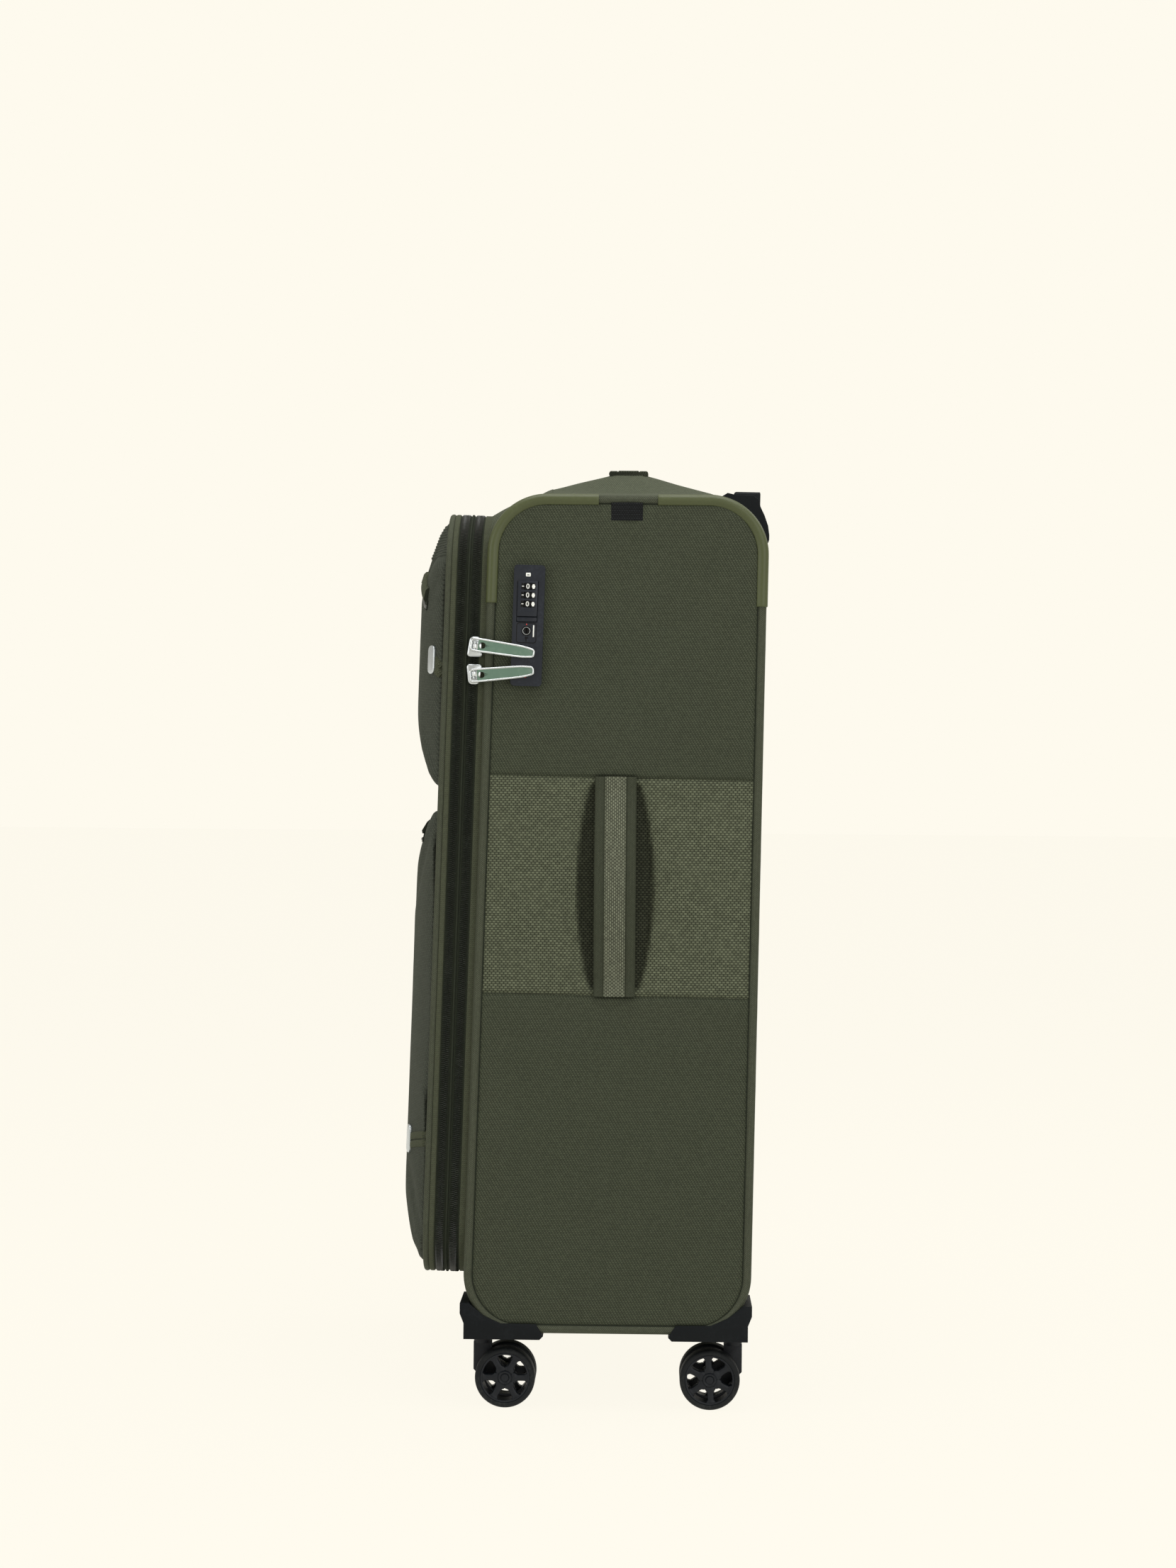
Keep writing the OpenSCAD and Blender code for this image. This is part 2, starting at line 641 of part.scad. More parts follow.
// Fork with its stem, its arm between the wheels and its axle; the axle lies at +trail along y
module fork()
    union() {
        translate([0, 0, collar_low]) cylinder(r = collar_r, h = collar_top - collar_low);
        translate([0, 0, collar_top - eps]) cylinder(r = stem_r, h = socket_h);
        translate([-arm_t / 2, 0, 0]) rotate([90, 0, 90]) linear_extrude(arm_t)
            polygon([[-collar_r, collar_low + 1], [-collar_r, wheel_r + 4], [0, wheel_r - 4],
                     [trail, wheel_r - boss_r], [trail, wheel_r + boss_r],
                     [collar_r, wheel_r + 16], [collar_r, collar_low + 1]]);
        translate([-arm_t / 2, trail, wheel_r]) rotate([0, 90, 0]) cylinder(r = boss_r, h = arm_t);
        translate([-arm_t / 2 - wheel_w, trail, wheel_r]) rotate([0, 90, 0])
            cylinder(r = axle_r, h = arm_t + 2 * wheel_w);
    }
tread_t = 6;
hub_r = 6;
spoke_w = 4.6;
spoke_t = 5;
wheel_chamfer = 2;
// Wheel about the x axis, from x = 0 to its outer face at x = wheel_w
module wheel()
    rotate([0, 90, 0]) {
        rotate_extrude() polygon([
            [wheel_r - tread_t, 0], [wheel_r - wheel_chamfer, 0], [wheel_r, wheel_chamfer],
            [wheel_r, wheel_w - wheel_chamfer], [wheel_r - wheel_chamfer, wheel_w],
            [wheel_r - tread_t, wheel_w]]);
        difference() {
            union() {
                cylinder(r = hub_r, h = wheel_w);
                for (i = [0 : 5]) rotate([0, 0, 60 * i])
                    translate([0, -spoke_w / 2, wheel_w - spoke_t - 1])
                        cube([wheel_r - tread_t + 0.5, spoke_w, spoke_t]);
            }
            translate([0, 0, -1]) cylinder(r = axle_r + run_gap, h = wheel_w + 2);
        }
    }
// One castor's pieces at its corner; side is 1 on the lock side, dir is 1 at the front
module at_castor(side, dir)
    translate([side * castor_x, dir > 0 ? front_castor_y : back_castor_y, 0])
        mirror([side > 0 ? 0 : 1, 0, 0]) mirror([0, dir > 0 ? 0 : 1, 0]) children();
module castor_fork(side, dir) color("dimgray") at_castor(side, dir) fork();
module castor_wheel(side, dir, outer)
    color("gray") at_castor(side, dir) translate([0, trail, wheel_r])
        mirror([outer ? 0 : 1, 0, 0]) translate([arm_t / 2 + part_gap, 0, 0]) wheel();

// Feet on the far side, for laying the case down
foot_r = 9;
foot_h = 12;
foot_in = 50;
// The front feet stand further in, clear of the lid when it is swung right round
foot_in_front = 78;
foot_up = 48;
module side_feet()
    color("dimgray")
        for (z = [low_arc_z + foot_up, high_arc_z - foot_up], y = [front_y(z) + foot_in_front, back_y(z) - foot_in])
            translate([-panel_x - foot_h, y, z]) rotate([0, 90, 0]) cylinder(r = foot_r, h = foot_h);

// ---- inside ----
lining_in = 23;
lining_t = 2;
lining_edge = 2;
module back_lining()
    color("lightgray") intersection() {
        in_back() translate([-beyond, -lining_in - lining_t, 0]) cube([2 * beyond, lining_t, case_top + 50]);
        side_slab(-gusset_x + lining_edge, gusset_x - lining_edge, wall);
    }
belt_w = 38;
belt_t = 1.6;
buckle_w = 50;
buckle_t = 6;
module packing_straps()
    color("dimgray") in_back() for (f = [1 / 3, 2 / 3])
        translate([0, -lining_in - lining_t, low_arc_z + f * (high_arc_z - low_arc_z)]) {
            translate([-gusset_x + 10, -belt_t, -belt_w / 2]) cube([2 * (gusset_x - 10), belt_t, belt_w]);
            translate([-buckle_w / 2, -belt_t - buckle_t, -belt_w / 2]) cube([buckle_w, buckle_t, belt_w]);
        }

back_panel();
side_panel_right();
side_panel_left();
top_panel();
bottom_panel();
mouth_rim();
edge_piping();
corner_sleeves();
webbing_tab();
side_handle();
top_handle();
lock_housing();
lock_dial_upper();
lock_dial_middle();
lock_dial_lower();
lock_release();
lock_key_barrel();
trolley_housing();
trolley_outer_tubes();
trolley_middle_tubes();
trolley_upper_tubes();
trolley_grip();
trolley_button();
corner_guards();
side_feet();
body_zip_tape();
hinge_strip();
back_lining();
packing_straps();
lid_rim_band();
rim_zip_tapes();
expander_slider();
lid_zip_tape();
lid_band();
lid_piping();
lid_panel();
expansion_gusset();
upper_pocket();
lower_pocket();
badge_plates();
upper_pocket_slider();
lower_pocket_slider();
main_slider_upper();
main_puller_upper();
main_slider_lower();
main_puller_lower();
castor_fork(1, 1);  // fork_front_right
castor_wheel(1, 1, true);  // wheel_outer_front_right
castor_wheel(1, 1, false);  // wheel_inner_front_right
castor_fork(-1, 1);  // fork_front_left
castor_wheel(-1, 1, true);  // wheel_outer_front_left
castor_wheel(-1, 1, false);  // wheel_inner_front_left
castor_fork(1, -1);  // fork_back_right
castor_wheel(1, -1, true);  // wheel_outer_back_right
castor_wheel(1, -1, false);  // wheel_inner_back_right
castor_fork(-1, -1);  // fork_back_left
castor_wheel(-1, -1, true);  // wheel_outer_back_left
castor_wheel(-1, -1, false);  // wheel_inner_back_left
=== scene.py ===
import json
import math
from bisect import bisect_right

import bmesh
import bpy
from mathutils import Matrix, Vector
from mathutils.bvhtree import BVHTree

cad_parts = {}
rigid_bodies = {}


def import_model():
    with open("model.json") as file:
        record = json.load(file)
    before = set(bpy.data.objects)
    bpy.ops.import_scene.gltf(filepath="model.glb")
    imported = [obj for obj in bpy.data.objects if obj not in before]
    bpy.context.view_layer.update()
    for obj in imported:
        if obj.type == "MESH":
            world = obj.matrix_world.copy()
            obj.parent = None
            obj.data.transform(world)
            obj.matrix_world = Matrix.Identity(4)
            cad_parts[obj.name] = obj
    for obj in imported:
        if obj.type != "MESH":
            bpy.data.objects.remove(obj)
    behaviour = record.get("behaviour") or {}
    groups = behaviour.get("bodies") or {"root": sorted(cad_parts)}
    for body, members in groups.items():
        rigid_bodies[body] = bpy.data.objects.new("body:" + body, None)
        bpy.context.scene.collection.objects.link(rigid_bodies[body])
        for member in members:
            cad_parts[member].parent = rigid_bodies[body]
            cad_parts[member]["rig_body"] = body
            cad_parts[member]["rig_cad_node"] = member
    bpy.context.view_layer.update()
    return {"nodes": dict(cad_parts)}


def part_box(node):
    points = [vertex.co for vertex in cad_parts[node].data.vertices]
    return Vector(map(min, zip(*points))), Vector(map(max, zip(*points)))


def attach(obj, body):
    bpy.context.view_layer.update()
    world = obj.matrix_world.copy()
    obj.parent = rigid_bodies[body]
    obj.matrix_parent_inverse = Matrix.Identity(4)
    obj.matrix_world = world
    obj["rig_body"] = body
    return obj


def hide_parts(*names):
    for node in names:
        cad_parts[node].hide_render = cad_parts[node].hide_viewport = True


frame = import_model()
nodes = frame["nodes"]
scene = bpy.context.scene
mm = 0.001

# Places that every piece starts from, taken from the CAD pieces
pipingLow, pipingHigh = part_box("edge_piping")
caseShape = {
    "halfWidth": pipingHigh.x,
    "low": pipingLow.z,
    "top": pipingHigh.z,
    "frontFoot": -0.1005,
    "backFoot": 0.1365,
    "cornerRadius": 0.048,
    "frontLean": math.radians(1.5),
    "backLean": math.radians(0.8),
}
lidShape = {
    "halfWidth": caseShape["halfWidth"] - 0.006,
    "low": caseShape["low"] + 0.042,
    "top": caseShape["top"] - 0.013,
    "cornerRadius": 0.048,
}


def activate(obj):
    bpy.ops.object.select_all(action="DESELECT")
    obj.select_set(True)
    bpy.context.view_layer.objects.active = obj


def addPrimitive(kind, name, **settings):
    bpy.ops.object.select_all(action="DESELECT")
    getattr(bpy.ops.mesh, "primitive_" + kind + "_add")(**settings)
    obj = bpy.context.object
    obj.name = obj.data.name = name
    bpy.ops.object.transform_apply(location=True, rotation=True, scale=True)
    return obj


def block(name, size, middle=(0, 0, 0)):
    obj = addPrimitive("cube", name, size=1)
    obj.data.transform(Matrix.Translation(middle) @ Matrix.Diagonal((*size, 1)))
    return obj


def inEditMode(obj, mode, test, *steps):
    # select the verts, edges or faces that pass the test, then run the steps on them
    activate(obj)
    bpy.ops.object.mode_set(mode="EDIT")
    bpy.ops.mesh.select_mode(type=mode)
    bpy.ops.mesh.select_all(action="DESELECT")
    mesh = bmesh.from_edit_mesh(obj.data)
    for item in {"VERT": mesh.verts, "EDGE": mesh.edges, "FACE": mesh.faces}[mode]:
        item.select = bool(test(item))
    mesh.select_flush_mode()
    bmesh.update_edit_mesh(obj.data)
    for step in steps:
        step()
    bpy.ops.object.mode_set(mode="OBJECT")


def addModifier(obj, kind, apply=True, **settings):
    activate(obj)
    modifier = obj.modifiers.new(kind.title(), kind)
    for key, value in settings.items():
        setattr(modifier, key, value)
    if apply:
        bpy.ops.object.modifier_apply(modifier=modifier.name)
    return modifier


def mergeNear(obj, gap, *steps):
    inEditMode(obj, "VERT", lambda v: True, lambda: bpy.ops.mesh.remove_doubles(threshold=gap), *steps)


def flatten():
    bpy.ops.mesh.dissolve_limited(angle_limit=math.radians(1.5))


def smooth(obj, angle=40):
    activate(obj)
    bpy.ops.object.shade_smooth_by_angle(angle=math.radians(angle))


def faceOut(obj, inside=None):
    # closed shapes by their volume, open sheets by the side that "inside" is on
    mesh = bmesh.new()
    mesh.from_mesh(obj.data)
    if inside is None:
        wrong = mesh.calc_volume(signed=True) < 0
    else:
        away = sum((f.calc_center_median() - Vector(inside)).dot(f.normal) * f.calc_area() for f in mesh.faces)
        wrong = away < 0
    if wrong:
        bmesh.ops.reverse_faces(mesh, faces=mesh.faces)
    mesh.to_mesh(obj.data)
    mesh.free()


def shapedGrid(name, columns, rows, place, size=(1, 1), inside=None, merge=True):
    # a grid laid out by place(u, v); its UV map is in metres, size[0] long and size[1] wide
    obj = addPrimitive("grid", name, x_subdivisions=columns, y_subdivisions=rows, size=2)
    mesh = obj.data
    for loop, spot in zip(mesh.loops, mesh.uv_layers.active.data):
        co = mesh.vertices[loop.vertex_index].co
        spot.uv = ((co.x + 1) / 2 * size[0], (co.y + 1) / 2 * size[1])
    for vertex in mesh.vertices:
        u, v = (vertex.co.x + 1) / 2, (vertex.co.y + 1) / 2
        vertex.co = place(min(max(u, 0), 1), min(max(v, 0), 1))
    if merge:
        mergeNear(obj, 2e-6)
    faceOut(obj, inside)
    return obj


def thicken(obj, thickness, offset=-1, lined=False, angle=50):
    # lined gives the inside the second material
    addModifier(obj, "SOLIDIFY", thickness=thickness, offset=offset, material_offset=1 if lined else 0)
    smooth(obj, angle)


def join(name, pieces):
    bpy.ops.object.select_all(action="DESELECT")
    for piece in pieces:
        piece.select_set(True)
    bpy.context.view_layer.objects.active = pieces[0]
    bpy.ops.object.join()
    pieces[0].name = pieces[0].data.name = name
    return pieces[0]


def copyPiece(source, name, matrix=None):
    obj = source.copy()
    obj.data = source.data.copy()
    obj.name = obj.data.name = name
    scene.collection.objects.link(obj)
    if matrix is not None:
        obj.data.transform(matrix)
        if matrix.determinant() < 0:
            obj.data.flip_normals()
    return obj


def bevelEdges(obj, width, segments, angle):
    addModifier(obj, "BEVEL", width=width, segments=segments, limit_method="ANGLE",
                angle_limit=math.radians(angle))


def beveled(obj, width, segments=2, angle=30):
    bevelEdges(obj, width, segments, angle)
    smooth(obj, 35)
    return obj


def refined(node, name, width, segments=2, angle=30):
    # a merged copy of a CAD piece, with its edges rounded
    obj = copyPiece(frame["nodes"][node], name)
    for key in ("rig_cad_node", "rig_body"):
        if key in obj:
            del obj[key]
    obj.parent = None
    obj.matrix_world = Matrix.Identity(4)
    obj.data.materials.clear()
    mergeNear(obj, 1e-6, flatten)
    obj.data.validate()
    if width:
        bevelEdges(obj, width, segments, angle)
    smooth(obj, 38)
    return obj


def finish(obj, body, material=None, replaces=()):
    if material is not None:
        obj.data.materials.clear()
        for item in (material if isinstance(material, (list, tuple)) else [material]):
            obj.data.materials.append(item)
    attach(obj, body)
    if replaces:
        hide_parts(*replaces)
    return obj


def ease(t, amount=0.11):
    return t - amount * math.sin(2 * math.pi * t)


def ramp(t):
    t = min(max(t, 0), 1)
    return t * t * (3 - 2 * t)


def wobble(*values):
    # a smooth unevenness of about -1 to 1
    total = 0
    for i, value in enumerate(values):
        total += math.sin(value * (1.7 + 0.9 * i) + 1.3 * i) + 0.5 * math.sin(value * (4.1 + 0.7 * i) + 2.1 * i)
    return total / (1.5 * len(values))


def runMarks(points):
    # the length along a row of flat points, up to each of them
    marks = [0]
    for one, two in zip(points, points[1:]):
        marks.append(marks[-1] + math.hypot(two[0] - one[0], two[1] - one[1]))
    return marks


def spreadUv(obj, rows, marks):
    # turns the UV map's second number into the length round the profile
    for spot in obj.data.uv_layers.active.data:
        k = spot.uv[1] * rows
        i = min(int(k + 1e-4), rows - 1)
        spot.uv[1] = marks[i] + (marks[i + 1] - marks[i]) * (k - i)


def fromFaces(name, verts, polys, angle):
    obj = addPrimitive("plane", name)
    obj.data.clear_geometry()
    obj.data.from_pydata(verts, [], polys)
    obj.data.update()
    faceOut(obj)
    smooth(obj, angle)
    return obj


def ringPath(arcs, steps=28):
    # arcs are (centre a, centre b, radius, first angle, last angle), counterclockwise and joined by straight lines
    spots = []
    for ca, cb, radius, first, last in arcs:
        for i in range(steps + 1):
            angle = math.radians(first + (last - first) * i / steps)
            spots.append((Vector((ca + radius * math.cos(angle), cb + radius * math.sin(angle))),
                          Vector((math.cos(angle), math.sin(angle)))))
    spots.append(spots[0])
    marks = [0]
    for one, two in zip(spots, spots[1:]):
        marks.append(marks[-1] + (two[0] - one[0]).length)
    length = marks[-1]

    def at(u):
        s = (u % 1) * length
        i = min(max(bisect_right(marks, s) - 1, 0), len(spots) - 2)
        t = (s - marks[i]) / max(marks[i + 1] - marks[i], 1e-9)
        return spots[i][0].lerp(spots[i + 1][0], t), spots[i][1].lerp(spots[i + 1][1], t).normalized()

    def where(arc, share):
        # the u of a place on an arc, share 0 to 1 along it
        k = arc * (steps + 1) + share * steps
        i = int(k)
        return (marks[i] + (marks[min(i + 1, len(marks) - 1)] - marks[i]) * (k - i)) / length

    return at, where, length


def frontY(z):
    return caseShape["frontFoot"] + z * math.tan(caseShape["frontLean"])


def backY(z):
    return caseShape["backFoot"] + z * math.tan(caseShape["backLean"])


def inFront(x, n, z):
    # n is the distance outwards from the leaning front edge
    lean = caseShape["frontLean"]
    return Vector((x, caseShape["frontFoot"] - n * math.cos(lean) + z * math.sin(lean),
                   n * math.sin(lean) + z * math.cos(lean)))


def inBack(x, y, z):
    lean = caseShape["backLean"]
    return Vector((x, caseShape["backFoot"] + y * math.cos(lean) + z * math.sin(lean),
                   -y * math.sin(lean) + z * math.cos(lean)))


cornerR = caseShape["cornerRadius"]
lowArc, highArc = caseShape["low"] + cornerR, caseShape["top"] - cornerR
leanF, leanB = caseShape["frontLean"], caseShape["backLean"]
sideAt, sideWhere, sideLength = ringPath([
    (backY(lowArc) - cornerR / math.cos(leanB), lowArc, cornerR, -90, -0.8),
    (backY(highArc) - cornerR / math.cos(leanB), highArc, cornerR, -0.8, 90),
    (frontY(highArc) + cornerR / math.cos(leanF), highArc, cornerR, 90, 178.5),
    (frontY(lowArc) + cornerR / math.cos(leanF), lowArc, cornerR, 178.5, 270)])
lidX, lidLow, lidTop, lidR = (lidShape[k] for k in ("halfWidth", "low", "top", "cornerRadius"))
lidAt, _, lidLength = ringPath([
    (lidX - lidR, lidLow + lidR, lidR, -90, 0), (lidX - lidR, lidTop - lidR, lidR, 0, 90),
    (-lidX + lidR, lidTop - lidR, lidR, 90, 180), (-lidX + lidR, lidLow + lidR, lidR, 180, 270)])


def leaning(spot):
    # at a spot, upright along the leaning front
    return Matrix.Translation(spot) @ Matrix.Rotation(-leanF, 4, "X")


def sidePoint(u, d, x):
    # a point round the side outline, drawn in by d
    spot, out = sideAt(u)
    spot = spot - out * d
    return Vector((x, spot.x, spot.y))


def lidPoint(u, d, n):
    spot, out = lidAt(u)
    spot = spot - out * d
    return inFront(spot.x, n, spot.y)


def sideSpan(z, d):
    # first and last y of the side panel at a height, drawn in by d
    lift = max(lowArc - z, z - highArc, 0)
    half = math.sqrt(max((cornerR - d) ** 2 - lift ** 2, 0)) if lift else cornerR - d
    knee = min(max(z, lowArc), highArc)
    front = frontY(knee if lift else z) + (cornerR if lift else d) - (half if lift else 0)
    back = backY(knee if lift else z) - (cornerR if lift else d) + (half if lift else 0)
    return front, back


def sweep(name, point, length, profile, columns, first=0, last=1):
    # carries a closed profile of (inset, level) pairs round an outline; point is sidePoint or lidPoint
    loop = profile + [profile[0]]
    rows = len(loop) - 1

    def place(u, v):
        k = min(int(round(v * rows)), rows)
        return point(first + (last - first) * u, *loop[k])

    obj = shapedGrid(name, columns, rows, place, (length * (last - first), 1))
    spreadUv(obj, rows, runMarks(loop))
    return obj


def roundProfile(inset, level, radius, steps):
    return [(inset + radius * math.cos(2 * math.pi * i / steps),
             level + radius * math.sin(2 * math.pi * i / steps)) for i in range(steps)]


def capEnds(obj):
    # closes the open ends of a swept shape
    inEditMode(obj, "EDGE", lambda e: e.is_boundary, lambda: bpy.ops.mesh.edge_face_add())
    faceOut(obj)

print("stage: finishes")


def newGroup(name, inputs, outputs):
    group = bpy.data.node_groups.new(name, "ShaderNodeTree")
    for label, kind, value in inputs:
        socket = group.interface.new_socket(label, in_out="INPUT", socket_type="NodeSocket" + kind)
        if value is not None:
            socket.default_value = value
    for label, kind in outputs:
        group.interface.new_socket(label, in_out="OUTPUT", socket_type="NodeSocket" + kind)
    return group, group.nodes.new("NodeGroupInput").outputs, group.nodes.new("NodeGroupOutput").inputs


def addNode(tree, kind, feeds, **settings):
    # feeds are sockets or plain values for the node's inputs, by number or name
    node = tree.nodes.new("ShaderNode" + kind)
    for key, value in settings.items():
        setattr(node, key, value)
    for key, feed in (feeds.items() if isinstance(feeds, dict) else enumerate(feeds)):
        if isinstance(feed, bpy.types.NodeSocket):
            tree.links.new(feed, node.inputs[key])
        elif feed is not None:
            node.inputs[key].default_value = feed
    return node


def calc(tree, operation, *feeds):
    return addNode(tree, "Math", feeds, operation=operation).outputs[0]


def blendColours(tree, factor, one, two, mode="MIX"):
    node = addNode(tree, "Mix", {0: factor, 6: one, 7: two}, data_type="RGBA", blend_type=mode)
    return node.outputs[2]


def noiseOf(tree, vector, scale, detail):
    return addNode(tree, "TexNoise", {"Vector": vector, "Scale": scale, "Detail": detail}).outputs[0]


def sineWave(tree, value):
    return calc(tree, "ABSOLUTE", calc(tree, "SINE", calc(tree, "MULTIPLY", value, math.pi)))


def asLinear(rgb):
    return tuple((c / 255 / 12.92 if c <= 10 else ((c / 255 + 0.055) / 1.055) ** 2.4) for c in rgb) + (1,)


def makeThreads():
    # rows of short threads, each row shifted along from the last: plain weave at 0.5, twill at 0.33
    group, given, out = newGroup("threadRows", [("Vector", "Vector", None), ("Across", "Float", 900),
                                                ("Along", "Float", 700), ("Shift", "Float", 0.5)],
                                 [("Height", "Float"), ("Thread", "Float")])
    spot = addNode(group, "SeparateXYZ", [given["Vector"]]).outputs
    row = calc(group, "MULTIPLY", spot[1], given["Along"])
    rowNumber = calc(group, "FLOOR", row)
    shift = calc(group, "MULTIPLY", rowNumber, given["Shift"])
    along = calc(group, "MULTIPLY_ADD", spot[0], given["Across"], shift)
    height = calc(group, "MULTIPLY", calc(group, "POWER", sineWave(group, along), 0.6),
                  calc(group, "POWER", sineWave(group, row), 0.5))
    group.links.new(height, out["Height"])
    cell = addNode(group, "CombineXYZ", [calc(group, "FLOOR", along), rowNumber, 0]).outputs[0]
    noise = addNode(group, "TexWhiteNoise", [cell], noise_dimensions="2D")
    group.links.new(noise.outputs["Value"], out["Thread"])
    return group


def makeChevron():
    # slanted threads that turn back at every column, as in herringbone
    group, given, out = newGroup("chevronRows", [("Vector", "Vector", None), ("Along", "Float", 700),
                                                 ("Column", "Float", 0.003), ("Slant", "Float", 1)],
                                 [("Height", "Float"), ("Thread", "Float")])
    spot = addNode(group, "SeparateXYZ", [given["Vector"]]).outputs
    turn = calc(group, "PINGPONG", spot[0], given["Column"])
    line = calc(group, "MULTIPLY", calc(group, "MULTIPLY_ADD", turn, given["Slant"], spot[1]), given["Along"])
    across = calc(group, "DIVIDE", spot[0], given["Column"])
    height = calc(group, "MULTIPLY", calc(group, "POWER", sineWave(group, line), 0.7),
                  calc(group, "POWER", sineWave(group, across), 0.25))
    group.links.new(height, out["Height"])
    cell = addNode(group, "CombineXYZ", [calc(group, "FLOOR", line), calc(group, "FLOOR", across), 0]).outputs[0]
    noise = addNode(group, "TexWhiteNoise", [cell], noise_dimensions="2D")
    group.links.new(noise.outputs["Value"], out["Thread"])
    return group


def makeTone():
    # thread colour: dark gaps, light tops, odd paler threads, and broad uneven shading
    group, given, out = newGroup("threadTone", [
        ("Vector", "Vector", None), ("Height", "Float", 0.5), ("Thread", "Float", 0.5), ("Gap", "Color", None),
        ("Top", "Color", None), ("Fleck", "Float", 0.15), ("Uneven", "Float", 0.06)], [("Color", "Color")])
    base = blendColours(group, given["Height"], given["Gap"], given["Top"])
    fleck = calc(group, "MULTIPLY", calc(group, "SUBTRACT", given["Thread"], 0.5), given["Fleck"])
    broad = noiseOf(group, given["Vector"], 26.0, 4.0)
    shade = calc(group, "MULTIPLY", calc(group, "SUBTRACT", broad, 0.5), given["Uneven"])
    gain = calc(group, "ADD", calc(group, "ADD", fleck, shade), 1)
    grey = addNode(group, "CombineColor", [gain, gain, gain]).outputs[0]
    group.links.new(blendColours(group, 1.0, base, grey, "MULTIPLY"), out["Color"])
    return group


def makeGrain():
    # moulded grain: fine pits for the bump, and cloudy, dusty changes of tone and gloss
    group, given, out = newGroup("mouldGrain", [
        ("Vector", "Vector", None), ("Scale", "Float", 1500), ("Base", "Color", None), ("Dust", "Color", None),
        ("Rough", "Float", 0.5), ("Amount", "Float", 0.15)],
        [("Color", "Color"), ("Roughness", "Float"), ("Height", "Float")])
    pits = noiseOf(group, given["Vector"], given["Scale"], 2.0)
    cloud = noiseOf(group, given["Vector"], 60.0, 6.0)
    scuff = noiseOf(group, given["Vector"], 420.0, 3.0)
    mask = addNode(group, "MapRange", {0: calc(group, "MULTIPLY", cloud, scuff), 1: 0.24, 2: 0.42}).outputs[0]
    mask = calc(group, "MULTIPLY", mask, given["Amount"])
    group.links.new(blendColours(group, mask, given["Base"], given["Dust"]), out["Color"])
    group.links.new(calc(group, "MULTIPLY_ADD", mask, 0.5, given["Rough"]), out["Roughness"])
    group.links.new(pits, out["Height"])
    return group


def makeBrushed():
    # fine lines along one direction, as on drawn or brushed metal
    group, given, out = newGroup("brushedLines", [
        ("Vector", "Vector", None), ("Base", "Color", None), ("Worn", "Color", None), ("Rough", "Float", 0.3)],
        [("Color", "Color"), ("Roughness", "Float"), ("Height", "Float")])
    stretched = addNode(group, "Mapping", {"Vector": given["Vector"], "Scale": (2500.0, 2500.0, 90.0)}).outputs[0]
    lines = noiseOf(group, stretched, 1.0, 3.0)
    cloud = noiseOf(group, given["Vector"], 140.0, 4.0)
    group.links.new(blendColours(group, calc(group, "MULTIPLY", lines, cloud), given["Base"], given["Worn"]),
                    out["Color"])
    group.links.new(calc(group, "MULTIPLY_ADD", lines, 0.18, given["Rough"]), out["Roughness"])
    group.links.new(lines, out["Height"])
    return group


threadRows, chevronRows, threadTone = makeThreads(), makeChevron(), makeTone()
mouldGrain, brushedLines = makeGrain(), makeBrushed()


def startMaterial(name, coords, swap=None):
    material = bpy.data.materials.new(name)
    material.use_nodes = True
    tree = material.node_tree
    shader = tree.nodes["Principled BSDF"]
    vector = tree.nodes.new("ShaderNodeTexCoord").outputs["UV" if coords == "uv" else "Object"]
    if swap:  # which two axes the pattern lies on
        spot = addNode(tree, "SeparateXYZ", [vector]).outputs
        one, two = (spot["XYZ".index(letter)] for letter in swap)
        vector = addNode(tree, "CombineXYZ", [one, two, 0]).outputs[0]
    return material, tree, shader, vector


def groupNode(tree, group, feeds):
    return addNode(tree, "Group", feeds, node_tree=group).outputs


def addBump(tree, shader, height, strength, depth):
    bump = addNode(tree, "Bump", {"Strength": strength, "Distance": depth * mm, "Height": height})
    tree.links.new(bump.outputs[0], shader.inputs["Normal"])


def grainParts(tree, shader, group, feeds):
    # links a group's colour and roughness, and returns its height
    parts = groupNode(tree, group, feeds)
    tree.links.new(parts["Color"], shader.inputs["Base Color"])
    tree.links.new(parts["Roughness"], shader.inputs["Roughness"])
    return parts["Height"]


def cloth(name, top, gap, coords="uv", swap=None, across=800, along=700, shift=0.5, column=0, slant=1,
          depth=0.25, rough=0.82, sheen=0.05, fleck=0.2, uneven=0.12, shadow=None, glossy=0.1):
    material, tree, shader, vector = startMaterial(name, coords, swap)
    if column:
        weave = groupNode(tree, chevronRows, {"Vector": vector, "Along": along, "Column": column, "Slant": slant})
    else:
        weave = groupNode(tree, threadRows, {"Vector": vector, "Across": across, "Along": along, "Shift": shift})
    objectSpot = tree.nodes.new("ShaderNodeTexCoord").outputs["Object"]
    colour = groupNode(tree, threadTone, {
        "Vector": objectSpot, "Height": weave["Height"], "Thread": weave["Thread"], "Gap": asLinear(gap),
        "Top": asLinear(top), "Fleck": fleck, "Uneven": uneven})["Color"]
    if shadow:  # painted shade: the mesh attribute "shade" marks the hollows beside the side strap, where the cloth colour is multiplied by the shadow colour
        mark = addNode(tree, "Attribute", [], attribute_name="shade").outputs["Fac"]
        colour = blendColours(tree, mark, colour, asLinear(shadow), "MULTIPLY")
    tree.links.new(colour, shader.inputs["Base Color"])
    addBump(tree, shader, weave["Height"], 0.9, depth)
    shader.inputs["Roughness"].default_value = rough
    shader.inputs["Specular IOR Level"].default_value = glossy
    shader.inputs["Sheen Weight"].default_value = sheen
    shader.inputs["Sheen Roughness"].default_value = 0.45
    shader.inputs["Sheen Tint"].default_value = asLinear((150, 158, 130))
    return material


